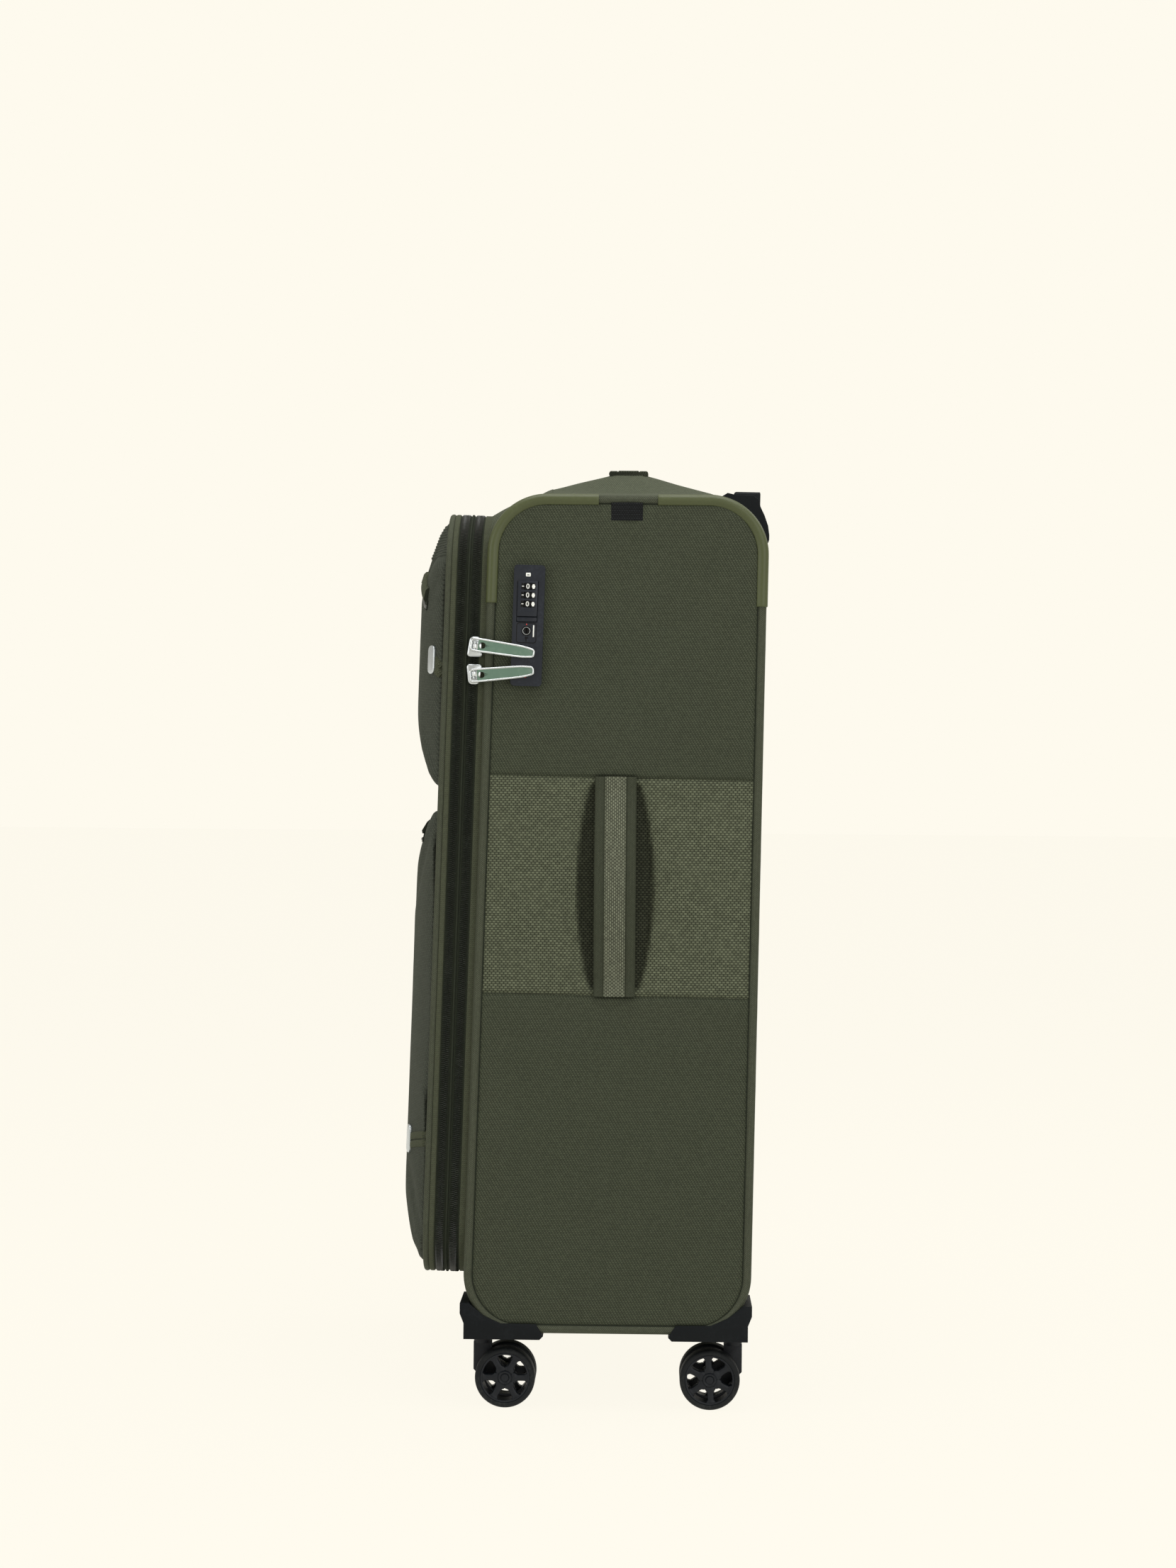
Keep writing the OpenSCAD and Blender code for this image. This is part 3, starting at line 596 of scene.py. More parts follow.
def plastic(name, base, dust, rough=0.45, scale=1500, amount=0.2, depth=0.05, coat=0, specular=0.5):
    material, tree, shader, vector = startMaterial(name, "object")
    height = grainParts(tree, shader, mouldGrain, {"Vector": vector, "Scale": scale, "Base": asLinear(base),
                                                   "Dust": asLinear(dust), "Rough": rough, "Amount": amount})
    addBump(tree, shader, height, 0.6, depth)
    shader.inputs["Coat Weight"].default_value = coat
    shader.inputs["Specular IOR Level"].default_value = specular
    return material


def metal(name, base, worn, rough=0.3):
    material, tree, shader, vector = startMaterial(name, "object")
    height = grainParts(tree, shader, brushedLines, {"Vector": vector, "Base": asLinear(base),
                                                     "Worn": asLinear(worn), "Rough": rough})
    addBump(tree, shader, height, 0.3, 0.03)
    shader.inputs["Metallic"].default_value = 1
    return material


finishes = {}


def addFinish(kind, name, *tones, **settings):
    finishes[name] = kind(name, *tones, **settings)


addFinish(cloth, "sideTwill", (72, 77, 62), (31, 34, 27), across=420, along=720, shift=0.33, depth=0.16)
# coarseBasket's shadow colour is painted shade for the hollows beside the side strap
addFinish(cloth, "coarseBasket", (98, 103, 84), (27, 29, 23), across=300, along=520, shift=0.5,
          depth=0.45, fleck=0.35, shadow=(165, 165, 165))
addFinish(cloth, "gussetTwill", (84, 89, 73), (46, 49, 40), across=420, along=720, shift=0.33, depth=0.12)
addFinish(cloth, "rimTwill", (80, 84, 67), (36, 39, 31), along=760, column=0.0016, slant=1, depth=0.22)
addFinish(cloth, "pocketTwill", (71, 75, 67), (43, 46, 41), "object", "XZ", across=420, along=720,
          shift=0.33, depth=0.12)
addFinish(cloth, "pipingCloth", (78, 82, 68), (44, 47, 38), across=600, along=900, shift=0.5, depth=0.14,
          rough=0.7)
addFinish(plastic, "sleeveSkin", (66, 72, 42), (80, 87, 56), 0.42, 900, 0.25, 0.05, specular=0.35)
addFinish(cloth, "strapPlain", (66, 70, 57), (38, 41, 33), across=700, along=900, depth=0.1)
addFinish(cloth, "strapWoven", (112, 116, 99), (24, 26, 21), across=360, along=600, shift=0.5, depth=0.4,
          fleck=0.35)
addFinish(cloth, "tapeCloth", (46, 51, 41), (22, 25, 19), across=1200, along=1500, depth=0.1, rough=0.8)
addFinish(cloth, "blackWebbing", (34, 36, 37), (8, 8, 9), across=500, along=650, depth=0.3)
addFinish(cloth, "liningCloth", (112, 114, 108), (84, 86, 82), "object", "XZ", across=1100, along=1100,
          depth=0.06, rough=0.75)
addFinish(cloth, "stitchThread", (78, 83, 66), (34, 37, 29), "object", "YZ", across=2500, along=900,
          depth=0.1, rough=0.6)
addFinish(plastic, "zipCoil", (30, 33, 28), (84, 90, 80), 0.28, 2500, 0.2, 0.02, 0.3, specular=0.6)
addFinish(plastic, "lockShell", (25, 29, 37), (70, 76, 88), 0.36, 1800, 0.12, 0.02, specular=0.28)
addFinish(plastic, "dialShell", (6, 6, 7), (40, 42, 44), 0.34, 2000, 0.08, 0.02, specular=0.2)
addFinish(plastic, "markWhite", (226, 228, 224), (196, 198, 196), 0.5, 2000, 0.2, 0.01)
addFinish(plastic, "markRed", (168, 44, 40), (130, 40, 36), 0.4, 2000, 0.2, 0.01)
addFinish(plastic, "guardShell", (10, 14, 17), (42, 46, 50), 0.48, 1300, 0.12, 0.05, specular=0.14)
addFinish(plastic, "wheelShell", (20, 23, 28), (54, 58, 64), 0.44, 1500, 0.12, 0.04, specular=0.22)
addFinish(plastic, "treadRubber", (17, 20, 22), (70, 72, 70), 0.6, 1000, 0.25, 0.06, specular=0.2)
addFinish(metal, "satinMetal", (186, 191, 193), (226, 230, 231), 0.24)
addFinish(metal, "wireMetal", (196, 201, 203), (236, 239, 240), 0.18)
addFinish(metal, "tubeMetal", (168, 172, 175), (208, 211, 213), 0.3)
addFinish(plastic, "pullerGreen", (86, 112, 97), (120, 142, 126), 0.36, 1600, 0.2, 0.02, 0.25, specular=0.35)
addFinish(metal, "badgeMetal", (188, 194, 198), (226, 230, 232), 0.2)

print("stage: body panels")

panelShape = {"face": 0.234, "seams": (0.341, 0.5195), "seamTilt": 0.015, "inset": 0.0062, "bulge": 0.0012,
              "roll": 0.0018, "rollWidth": 0.0017, "pucker": 0.00022, "thickness": 0.0016}
strapLow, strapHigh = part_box("side_handle")
lensShape = {"middle": (strapLow.y + strapHigh.y) / 2, "low": panelShape["seams"][0],
             "high": panelShape["seams"][1],
             "halfAtEnds": 0.0185, "halfAtMiddle": 0.0325, "depth": 0.0055, "edge": 0.0035}


def lensDepth(y, z):
    # how far the hollow beside the strap goes in, and how strongly painted shade darkens its cloth
    t = (z - lensShape["low"]) / (lensShape["high"] - lensShape["low"])
    if not 0.02 < t < 0.98:
        return 0, 0
    swell = math.sin(math.pi * t) ** 0.62
    half = lensShape["halfAtEnds"] + (lensShape["halfAtMiddle"] - lensShape["halfAtEnds"]) * swell
    inside = ramp((half - abs(y - lensShape["middle"])) / lensShape["edge"])
    end = ramp((0.5 - abs(t - 0.5)) / 0.05)
    return inside * end * lensShape["depth"] * (0.45 + 0.55 * swell), inside * end


def makeSidePanel(name, side, z0, z1, columns, rows, lens=False):
    middle = (frontY((z0 + z1) / 2) + backY((z0 + z1) / 2)) / 2

    def place(u, v):
        z = z0 + (z1 - z0) * ease(v, 0.12)
        y0, y1 = sideSpan(z, panelShape["inset"])
        y = y0 + (y1 - y0) * ease(u, 0.12)
        lowSeam, highSeam = z0 > lowArc, z1 < highArc
        weight = (1 if highSeam else 1 - v) if lowSeam else v
        gap = min(y - y0, y1 - y, (z - z0), (z1 - z))
        x = panelShape["face"] - panelShape["roll"] * math.exp(-(gap / panelShape["rollWidth"]) ** 2)
        x += panelShape["bulge"] * math.sin(math.pi * u) * math.sin(math.pi * v)
        x += 0.00025 * wobble(y * 31 + side, z * 23)
        seamGap = min(z - z0 if lowSeam else 1, z1 - z if highSeam else 1)
        x += panelShape["pucker"] * math.sin(y * 620 + 2 * math.sin(y * 90)) * math.exp(-seamGap / 0.006)
        edgeGap = min(y - y0, y1 - y)
        x += panelShape["pucker"] * math.sin(z * 540 + 2 * math.sin(z * 70)) * math.exp(-edgeGap / 0.006)
        if lens:
            x -= lensDepth(y, z)[0]
        z -= panelShape["seamTilt"] * (y - middle) * weight
        return Vector((side * x, y, z))

    panel = shapedGrid(name, columns, rows, place, (0.22, z1 - z0), (0, 0.02, (z0 + z1) / 2), merge=False)
    for loop, spot in zip(panel.data.loops, panel.data.uv_layers.active.data):
        co = panel.data.vertices[loop.vertex_index].co
        spot.uv = (co.y, co.z)
    # painted shade: how dark each hollow beside the strap is goes into the "shade" attribute, which the cloth
    # multiplies into its colour
    if lens:
        shade = panel.data.attributes.new("shade", "FLOAT", "POINT")
        for vertex in panel.data.vertices:
            shade.data[vertex.index].value = lensDepth(vertex.co.y, vertex.co.z)[1]
    thicken(panel, panelShape["thickness"], lined=True)
    return panel


seamLow, seamHigh = panelShape["seams"]
edgeIn = panelShape["inset"]
panelRows = {"Lower": (caseShape["low"] + edgeIn, seamLow, 70, 90), "Middle": (seamLow, seamHigh, 150, 90),
             "Upper": (seamHigh, caseShape["top"] - edgeIn, 70, 80)}
for sideName, side in (("Right", 1), ("Left", -1)):
    for rowName, (z0, z1, columns, rows) in panelRows.items():
        middleRow = rowName == "Middle"
        hollow = middleRow and side > 0
        panel = makeSidePanel("sidePanel" + sideName + rowName, side, z0, z1, columns, rows, hollow)
        cover = finishes["coarseBasket"] if middleRow else finishes["sideTwill"]
        finish(panel, "case", [cover, finishes["liningCloth"]],
               ["side_panel_right" if side > 0 else "side_panel_left"])

# Piping: a corded edge, its sewn lip, and the tough sleeves on the top corners
pipingShape = {"inset": 0.0035, "middle": caseShape["halfWidth"] - 0.0033, "radius": 0.0036, "steps": 14}
sleeveShape = {"radius": 0.0047, "reach": 0.090, "lip": 0.0082}
for sideName, side in (("Right", 1), ("Left", -1)):
    cord = sweep("piping" + sideName, sidePoint, sideLength,
                 [(d, side * x) for d, x in roundProfile(pipingShape["inset"], pipingShape["middle"],
                                                         pipingShape["radius"], pipingShape["steps"])], 520)
    smooth(cord, 60)
    finish(cord, "case", finishes["pipingCloth"], ["edge_piping"])
    face = panelShape["face"]
    seamTape = sweep("pipingLip" + sideName, sidePoint, sideLength,
                     [(0.0058, side * (face - 0.0022)), (0.0064, side * (face - 0.0004)),
                      (0.0076, side * (face - 0.0009)), (0.0079, side * (face - 0.0022))], 420)
    smooth(seamTape, 60)
    finish(seamTape, "case", finishes["tapeCloth"])


def makeSleeve(name, side, first, last):
    radius, middle = sleeveShape["radius"], pipingShape["middle"]
    edge, face = sleeveShape["lip"], panelShape["face"]
    outer = []
    for i in range(11):  # from the panel's side, round the cord, to the top of the case
        angle = math.radians(62 + 200 * i / 10)
        outer.append((pipingShape["inset"] + radius * math.cos(angle) * 0.98, middle + radius * math.sin(angle)))
    lip = [(edge, face - 0.0004), (edge - 0.0003, face + 0.0005), (edge - 0.0011, face + 0.0009)]
    under = [(pipingShape["inset"] - 0.003, middle - radius - 0.0012), (0.0010, middle - radius - 0.0022)]
    inner = [(0.004, middle - 0.004), (0.0062, face - 0.0016)]
    profile = [(d, side * x) for d, x in lip + outer + under + inner]
    sleeve = sweep(name, sidePoint, sideLength, profile, 70, first, last)
    capEnds(sleeve)
    bevelEdges(sleeve, 0.0004, 2, 50)
    smooth(sleeve, 50)
    return finish(sleeve, "case", finishes["sleeveSkin"], ["corner_sleeves"])


legs = (sleeveShape["reach"] - cornerR) / sideLength
for sideName, side in (("Right", 1), ("Left", -1)):
    makeSleeve("cornerSleeveBack" + sideName, side, sideWhere(1, 0) - legs, sideWhere(1, 1) + legs)
    makeSleeve("cornerSleeveFront" + sideName, side, sideWhere(2, 0) - legs, sideWhere(2, 1) + legs)

# The wrap-around wall: back, underside and top, with the padded rise under the top strap
gussetShape = {"edge": 0.2282, "topCrown": 0.0135, "backCrown": 0.004, "lowCrown": -0.001, "hillHalf": 0.0115,
               "hillFront": 0.093, "hillBack": 0.086, "hillHigh": 0.0190, "hillEnd": 0.098, "thickness": 0.002}
topStrapLow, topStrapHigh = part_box("top_handle")
strapY = (topStrapLow.y + topStrapHigh.y) / 2


def hillRise(x, y):
    shape = gussetShape
    away = y - strapY
    reach = shape["hillBack"] if away > 0 else shape["hillFront"]
    tent = 1 - min(max((abs(away) - shape["hillHalf"]) / (reach - shape["hillHalf"]), 0), 1)
    tent = tent ** 1.12
    end = abs(x)
    along = ramp((shape["hillEnd"] + 0.045 - end) / 0.05)
    dip = 1 - 0.62 * ramp((0.078 - end) / 0.03) * ramp(1 - (abs(away) - 0.010) / 0.05)
    return shape["hillHigh"] * tent * along * dip


def acrossCrown(x):
    return max(0, 1 - (abs(x) / gussetShape["edge"]) ** 2.6)


def lidEdgeZ(x, top):
    corner = lidX - lidR
    drop = 0
    if abs(x) > corner:
        drop = lidR - math.sqrt(max(lidR ** 2 - (abs(x) - corner) ** 2, 0))
    return lidTop - drop if top else lidLow + drop


def gussetBack(u, v):
    x = gussetShape["edge"] * (2 * ease(v, 0.09) - 1)
    first, last = sideWhere(3, 1) - 1, sideWhere(2, 0)
    spot, out = sideAt(first + (last - first) * u)
    up, back = max(0, out.y), max(0, out.x)
    crown = acrossCrown(x) * (gussetShape["topCrown"] * up ** 2 + gussetShape["backCrown"] * back ** 2
                              + gussetShape["lowCrown"] * max(0, -out.y) ** 2)
    crown += 0.0006 * wobble(x * 25, u * 40) * acrossCrown(x)
    level = spot + out * crown
    z = level.y + hillRise(x, level.x) * up ** 2
    return Vector((x, level.x, z))


def gussetFront(top):
    # from the top or the underside to the lid's edge: nearly flat in the middle, round where the corners fall away
    def place(u, v):
        x = gussetShape["edge"] * (2 * ease(v, 0.09) - 1)
        angle = math.pi / 2 * u
        spot, out = sideAt(sideWhere(2, 0) if top else sideWhere(3, 1))
        far = spot + out * acrossCrown(x) * (gussetShape["topCrown"] if top else gussetShape["lowCrown"])
        edge = lidEdgeZ(x, top)
        near = inFront(x, -0.0002, max(edge, highArc - 0.002) if top else min(edge, lowArc + 0.002))
        limit = lidTop - highArc if top else lowArc - lidLow
        roundness = ramp(abs(near.z - (lidTop if top else lidLow)) / limit)
        alongY = roundness * math.sin(angle) + (1 - roundness) * u
        alongZ = roundness * math.cos(angle) + (1 - roundness) * (1 - u ** 1.5)
        y = far.x + (near.y - far.x) * alongY
        z = near.z + (far.y - near.z) * alongZ
        z += 0.0005 * wobble(x * 40, u * 3) * math.sin(2 * angle)
        if top:
            z += hillRise(x, y) * math.cos(angle)
        return Vector((x, y, z))
    return place


gussetPieces = [
    shapedGrid("gussetBack", 240, 120, gussetBack, (1.45, 0.456), (0, 0.02, 0.4), merge=False),
    shapedGrid("gussetTop", 26, 120, gussetFront(True), (0.075, 0.456), (0, 0.02, 0.4), merge=False),
    shapedGrid("gussetLow", 22, 120, gussetFront(False), (0.075, 0.456), (0, 0.02, 0.4), merge=False)]
wall = join("wrapAroundWall", gussetPieces)
mergeNear(wall, 1e-4)
for loop, spot in zip(wall.data.loops, wall.data.uv_layers.active.data):
    spot.uv[1] = wall.data.vertices[loop.vertex_index].co.x
thicken(wall, gussetShape["thickness"], lined=True)
finish(wall, "case", [finishes["gussetTwill"], finishes["liningCloth"]],
       ["back_panel", "top_panel", "bottom_panel"])


def rimPlace(u, v):
    # from the zip back to the front edge, then down to the case's rounded bottom corners
    spot, out = lidAt(u)
    if v < 0.5:
        k = v / 0.5
        return inFront(spot.x - out.x * 0.0004, 0.0052 - 0.0058 * k, spot.y - out.y * 0.0004)
    k = (v - 0.5) / 0.5
    fall = max(0, spot.y - (lowArc - 0.004)) if spot.y < lidLow + lidR - 1e-5 and abs(spot.x) > lidX - lidR else 0
    return inFront(spot.x + out.x * 0.0008 * k, -0.0006 - 0.0005 * k, spot.y + (out.y * 0.0008 - fall) * k)


rim = shapedGrid("mouthRim", 420, 8, rimPlace, (lidLength, 0.011), (0, 0.05, 0.4))
thicken(rim, 0.0022, lined=True)
finish(rim, "case", [finishes["rimTwill"], finishes["liningCloth"]], ["mouth_rim"])
innerRim = sweep("mouthSleeve", lidPoint, lidLength, [(0.0030, 0.004), (0.0030, -0.030), (0.0046, -0.030),
                                                      (0.0046, 0.0042)], 300)
smooth(innerRim, 50)
finish(innerRim, "case", finishes["liningCloth"])

print("stage: zips")

zipShape = {"pitch": 0.00165, "tooth": 0.00044, "thick": 0.0008, "tapeInset": 0.0012, "tapeThick": 0.0009}


def makeTooth(length):
    # one loop of the coil: a slanted, rounded bar that tapers at both ends
    tooth = addPrimitive("cylinder", "tooth", vertices=6, radius=1, depth=0.62, rotation=(math.pi / 2, 0, 0))
    for end in (-1, 1):
        inEditMode(tooth, "FACE", lambda f: f.calc_center_median().y * end > 0.3,
                   lambda: bpy.ops.mesh.extrude_region_move(TRANSFORM_OT_translate={"value": (0, 0.19 * end, 0)}),
                   lambda: bpy.ops.transform.resize(value=(0.45, 1, 0.45)))
    tooth.data.transform(Matrix.Diagonal((zipShape["tooth"], length, zipShape["thick"], 1)))
    for vertex in tooth.data.vertices:
        vertex.co.x += vertex.co.y * 0.16
    return tooth


def makeCoil(name, n0, n1, flip, inset, first=0, last=1):
    length = n1 - n0
    tooth = makeTooth(length)
    corners = [v.co.copy() for v in tooth.data.vertices]
    faces = [tuple(p.vertices) for p in tooth.data.polygons]
    bpy.data.objects.remove(tooth)
    count = int(lidLength * (last - first) / zipShape["pitch"])
    verts, polys = [], []
    for i in range(count):
        u = first + (last - first) * (i + (0.5 if flip else 0)) / count
        spot, out = lidAt(u)
        along = Vector((-out.y, out.x))
        for corner in corners:
            side = spot + along * corner.x * (-1 if flip else 1) + out * (corner.z - inset)
            verts.append(inFront(side.x, (n0 + n1) / 2 + corner.y, side.y))
        base = i * len(corners)
        polys += [tuple(base + k for k in face) for face in faces]
    return fromFaces(name, verts, polys, 50)


# Each zip: which body, where its tape lies, and where its teeth lie, as distances out from the front edge
zipRows = {
    "mainZipBody": ("case", (0.0052, 0.0099), (0.0066, 0.0103), False, "body_zip_tape"),
    "mainZipRim": ("lid_rim", (0.0101, 0.0149), (0.0097, 0.0134), True, "rim_zip_tapes"),
    "expanderZipRim": ("lid_rim", (0.0171, 0.0214), (0.0182, 0.0217), False, "rim_zip_tapes"),
    "expanderZipLid": ("lid_front", (0.0216, 0.0259), (0.0213, 0.0248), True, "lid_zip_tape"),
}
for name, (body, tape, teeth, flip, node) in zipRows.items():
    inset, thick = zipShape["tapeInset"], zipShape["tapeThick"]
    n0, n1 = tape
    band = sweep(name + "Tape", lidPoint, lidLength, [(inset, n0), (inset, n1), (inset + thick, n1),
                                                      (inset + thick, n0)], 420)
    smooth(band, 50)
    finish(band, body, finishes["tapeCloth"], [node])
    coil = makeCoil(name + "Coil", teeth[0], teeth[1], flip, inset - 0.0004)
    finish(coil, body, finishes["zipCoil"])

print("stage: lid")


def lidBand(name, body, profile, cover, nodeNames):
    band = sweep(name, lidPoint, lidLength, profile, 420)
    smooth(band, 50)
    return finish(band, body, finishes[cover], nodeNames)


lidBand("zipDivider", "lid_rim",
        [(0.0044, 0.0152), (0.0006, 0.0150), (-0.0002, 0.0154), (-0.0002, 0.0166), (0.0006, 0.0170),
         (0.0044, 0.0168)],
        "tapeCloth", ["lid_rim_band"])
lidBand("rimBacking", "lid_rim", [(0.0036, 0.0102), (0.0036, 0.0212), (0.0054, 0.0212), (0.0054, 0.0102)],
        "liningCloth", [])
lidBand("lidSideBand", "lid_front",
        [(0.0030, 0.0219), (0.0030, 0.0259), (0.0012, 0.0258), (0.0004, 0.0263), (0.0001, 0.0272),
         (0.0001, 0.0290), (0.0006, 0.0302), (0.0072, 0.0306), (0.0072, 0.0290), (0.0056, 0.0280),
         (0.0056, 0.0219)],
        "rimTwill", ["lid_band"])
lidBand("lidPiping", "lid_front", roundProfile(0.0024, 0.0326, 0.00255, 12), "pipingCloth",
        ["lid_piping"])
lidBand("expansionSleeve", "lid_front", [(0.0062, -0.0168), (0.0062, 0.0284), (0.0074, 0.0284), (0.0074, -0.0168)],
        "pocketTwill", ["expansion_gusset"])

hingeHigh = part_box("hinge_strip")[1]


def lidSpan(z, d):
    lift = max(lidLow + lidR - z, z - lidTop + lidR, 0)
    return lidX - lidR + math.sqrt(max((lidR - d) ** 2 - lift ** 2, 0)) if lift else lidX - d


def lidFace(u, v):
    z = lidLow + 0.0036 + (lidTop - lidLow - 0.0072) * ease(v, 0.12)
    half = lidSpan(z, 0.0036)
    x = half * (2 * ease(u, 0.1) - 1)
    gap = min(half - abs(x), z - lidLow - 0.0036, lidTop - 0.0036 - z)
    n = 0.0339 - 0.0012 * math.exp(-(gap / 0.002) ** 2) + 0.0003 * wobble(x * 30, z * 22)
    return inFront(x, n, z)


face = shapedGrid("lidFace", 90, 120, lidFace, (0.45, 0.62), (0, 0.1, 0.4), merge=False)
thicken(face, 0.0030, lined=True)
finish(face, "lid_front", [finishes["pocketTwill"], finishes["liningCloth"]], ["lid_panel"])


def hingePlace(u, v):
    low, high = lidLow + lidR + 0.001, hingeHigh.z - 0.001
    z = low + (high - low) * u
    out = 0.0004 + 0.0011 * math.sin(math.pi * v)
    return inFront(-lidX - out, 0.0049 + 0.0102 * v, z)


hinge = shapedGrid("hingeStrip", 200, 8, hingePlace, (0.55, 0.01), (0, 0, 0.4), merge=False)
thicken(hinge, 0.0006, offset=1)
finish(hinge, "case", finishes["rimTwill"], ["hinge_strip"])

print("stage: front pockets")

pocketShape = {
    "upperPocket": {"low": 0.510, "high": 0.7335, "bulge": 0.0250, "fall": 2.7, "node": "upper_pocket"},
    "lowerPocket": {"low": 0.1135, "high": 0.4935, "bulge": 0.0212, "fall": 5.0, "node": "lower_pocket"},
}
pocketSide = {"half": 0.2215, "fall": 7.0, "voxel": 0.0055, "pressure": 4.0, "cap": 0.0035, "start": 0.0022,
              "level": 0.0340, "sewn": 0.0342, "pinned": 0.0362}


def swell(t, fall):
    return max(0, 1 - abs(t) ** fall) ** 0.5


stepShape = {"from": 0.6972, "to": 0.7006, "drop": 0.0056}  # the ribbed top lies lower than the pocket's front


def pocketHeight(shape, x, z, less=0):
    t = (z - (shape["low"] + shape["high"]) / 2) / ((shape["high"] - shape["low"]) / 2)
    half = min(pocketSide["half"], lidSpan(z, 0.006))
    high = shape["bulge"] - less
    step = stepShape["drop"] * ramp((z - stepShape["from"]) / (stepShape["to"] - stepShape["from"]))
    return max(min(high * swell(t, shape["fall"]), high * swell(x / half, pocketSide["fall"]) - step), 0)


def makePocket(name, shape):
    low, high = shape["low"], shape["high"]

    def place(u, v):
        z = low + (high - low) * ease(v, 0.135)
        half = min(pocketSide["half"], lidSpan(z, 0.006))
        x = half * (2 * ease(u, 0.13) - 1)
        rise = pocketHeight(shape, x, z, pocketSide["start"])
        return inFront(x, pocketSide["level"] + rise, z)

    pocket = shapedGrid(name, 96, 84, place, (0.44, high - low), (0, 0.1, 0.4), merge=False)
    inEditMode(pocket, "EDGE", lambda e: e.is_boundary,
               lambda: bpy.ops.mesh.extrude_edges_move(TRANSFORM_OT_translate={"value": (0, 0.0012, 0)}),
               lambda: bpy.ops.mesh.edge_face_add())
    inEditMode(pocket, "FACE", lambda f: len(f.verts) > 4,
               lambda: bpy.ops.mesh.quads_convert_to_tris())
    faceOut(pocket)
    addModifier(pocket, "REMESH", mode="VOXEL", voxel_size=pocketSide["voxel"])
    rest = [v.co.copy() for v in pocket.data.vertices]
    pin = pocket.vertex_groups.new(name="sewn")
    edge = [v.index for v in pocket.data.vertices
            if v.co.y > caseShape["frontFoot"] - pocketSide["pinned"] + v.co.z * math.tan(leanF)]
    pin.add(edge, 1, "REPLACE")
    puff = addModifier(pocket, "CLOTH", apply=False)
    puff.settings.use_pressure = True
    puff.settings.uniform_pressure_force = pocketSide["pressure"]
    puff.settings.effector_weights.gravity = 0
    puff.settings.quality = 4
    puff.settings.vertex_group_mass = "sewn"
    puff.collision_settings.use_collision = False
    puff.point_cache.frame_start, puff.point_cache.frame_end = 1, 20
    for frameNumber in range(1, 21):
        scene.frame_set(frameNumber)
    activate(pocket)
    bpy.ops.object.modifier_apply(modifier=puff.name)
    scene.frame_set(1)
    for vertex, before in zip(pocket.data.vertices, rest):
        move = vertex.co - before
        if move.length > pocketSide["cap"]:
            vertex.co = before + move * (pocketSide["cap"] / move.length)
    addModifier(pocket, "SUBSURF", levels=1, render_levels=1)
    for vertex in pocket.data.vertices:
        lift = inFront(0, pocketSide["sewn"], vertex.co.z).y
        if vertex.co.y > lift:
            vertex.co.y = lift
    smooth(pocket, 70)
    finish(pocket, "lid_front", finishes["pocketTwill"], [shape["node"]])
    return pocket


def pocketProbe(pocket):
    # the distance out of a pocket's surface, found by looking straight back at it
    mesh = bmesh.new()
    mesh.from_mesh(pocket.data)
    tree = BVHTree.FromBMesh(mesh)
    back = (inFront(0, 0, 0) - inFront(0, 1, 0)).normalized()
    far = 0.12

    def level(x, z):
        hit = tree.ray_cast(inFront(x, far, z), back)[0]
        return pocketSide["level"] if hit is None else far - (hit - inFront(x, far, z)).length
    return level


pockets, probes = {}, {}
for name, shape in pocketShape.items():
    pockets[name] = makePocket(name, shape)
    probes[name] = pocketProbe(pockets[name])


def onPocket(name, probe, route, profile, samples, cover):
    # sews a strip on to a pocket: route(u) gives (x, z), profile is (sideways, out) pairs
    spots = [route(i / samples) for i in range(samples + 1)]
    rows = len(profile)

    def place(u, v):
        i = int(round(u * samples))
        k = int(round(v * rows)) % rows
        one, two = spots[max(i - 1, 0)], spots[min(i + 1, samples)]
        run = math.hypot(two[0] - one[0], two[1] - one[1])
        ax, az = -(two[1] - one[1]) / run, (two[0] - one[0]) / run
        sideways, out = profile[k]
        x, z = spots[i][0] + ax * sideways, spots[i][1] + az * sideways
        return inFront(x, probe(x, z) + out, z)

    size = (runMarks(spots)[-1], sum(abs(p[0]) for p in profile))
    strip = shapedGrid(name, samples, rows, place, size)
    capEnds(strip)
    smooth(strip, 45)
    return finish(strip, "lid_front", finishes[cover])


# Openings: an arched zip under a flap on the upper pocket, a straight one on the lower
openingShape = {"upperZ": 0.6860, "upperArch": 0.010, "hook": 0.012, "lowerZ": 0.4715, "reach": 0.196}


def upperRoute(offset):
    def route(u):
        x = openingShape["reach"] * (1 - 2 * u)
        t = abs(x) / openingShape["reach"]
        fall = openingShape["upperArch"] * t ** 2.2 + openingShape["hook"] * ramp((t - 0.86) / 0.14)
        return x, openingShape["upperZ"] - fall + offset
    return route


def lowerRoute(offset):
    return lambda u: (openingShape["reach"] * (1 - 2 * u), openingShape["lowerZ"] + offset)


flap = [(-0.0052, 0.0002), (-0.0050, 0.0016), (-0.0030, 0.0030), (0.0042, 0.0036), (0.0066, 0.0022),
        (0.0068, 0.0001)]
tape = [(-0.0040, 0.0001), (-0.0040, 0.0010), (0.0040, 0.0010), (0.0040, 0.0001)]
for name, route, probeName in (("upper", upperRoute, "upperPocket"), ("lower", lowerRoute, "lowerPocket")):
    probe = probes[probeName]
    onPocket(name + "PocketTape", probe, route(-0.0035), tape, 130, "tapeCloth")
    onPocket(name + "PocketCoil", probe, route(-0.0050),
             [(-0.0014, 0.0009), (-0.0010, 0.0016), (0, 0.0019), (0.0010, 0.0016), (0.0014, 0.0009)],
             520, "zipCoil")
    onPocket(name + "PocketFlap", probe, route(0.0060), flap, 130, "rimTwill")

# Sewn ribs across the upper pocket's top, above its zip
ribShape = {"from": 0.7012, "to": 0.7280, "pitch": 0.0022, "high": 0.0008, "half": 0.2185}
ribCount = int((ribShape["to"] - ribShape["from"]) / ribShape["pitch"])


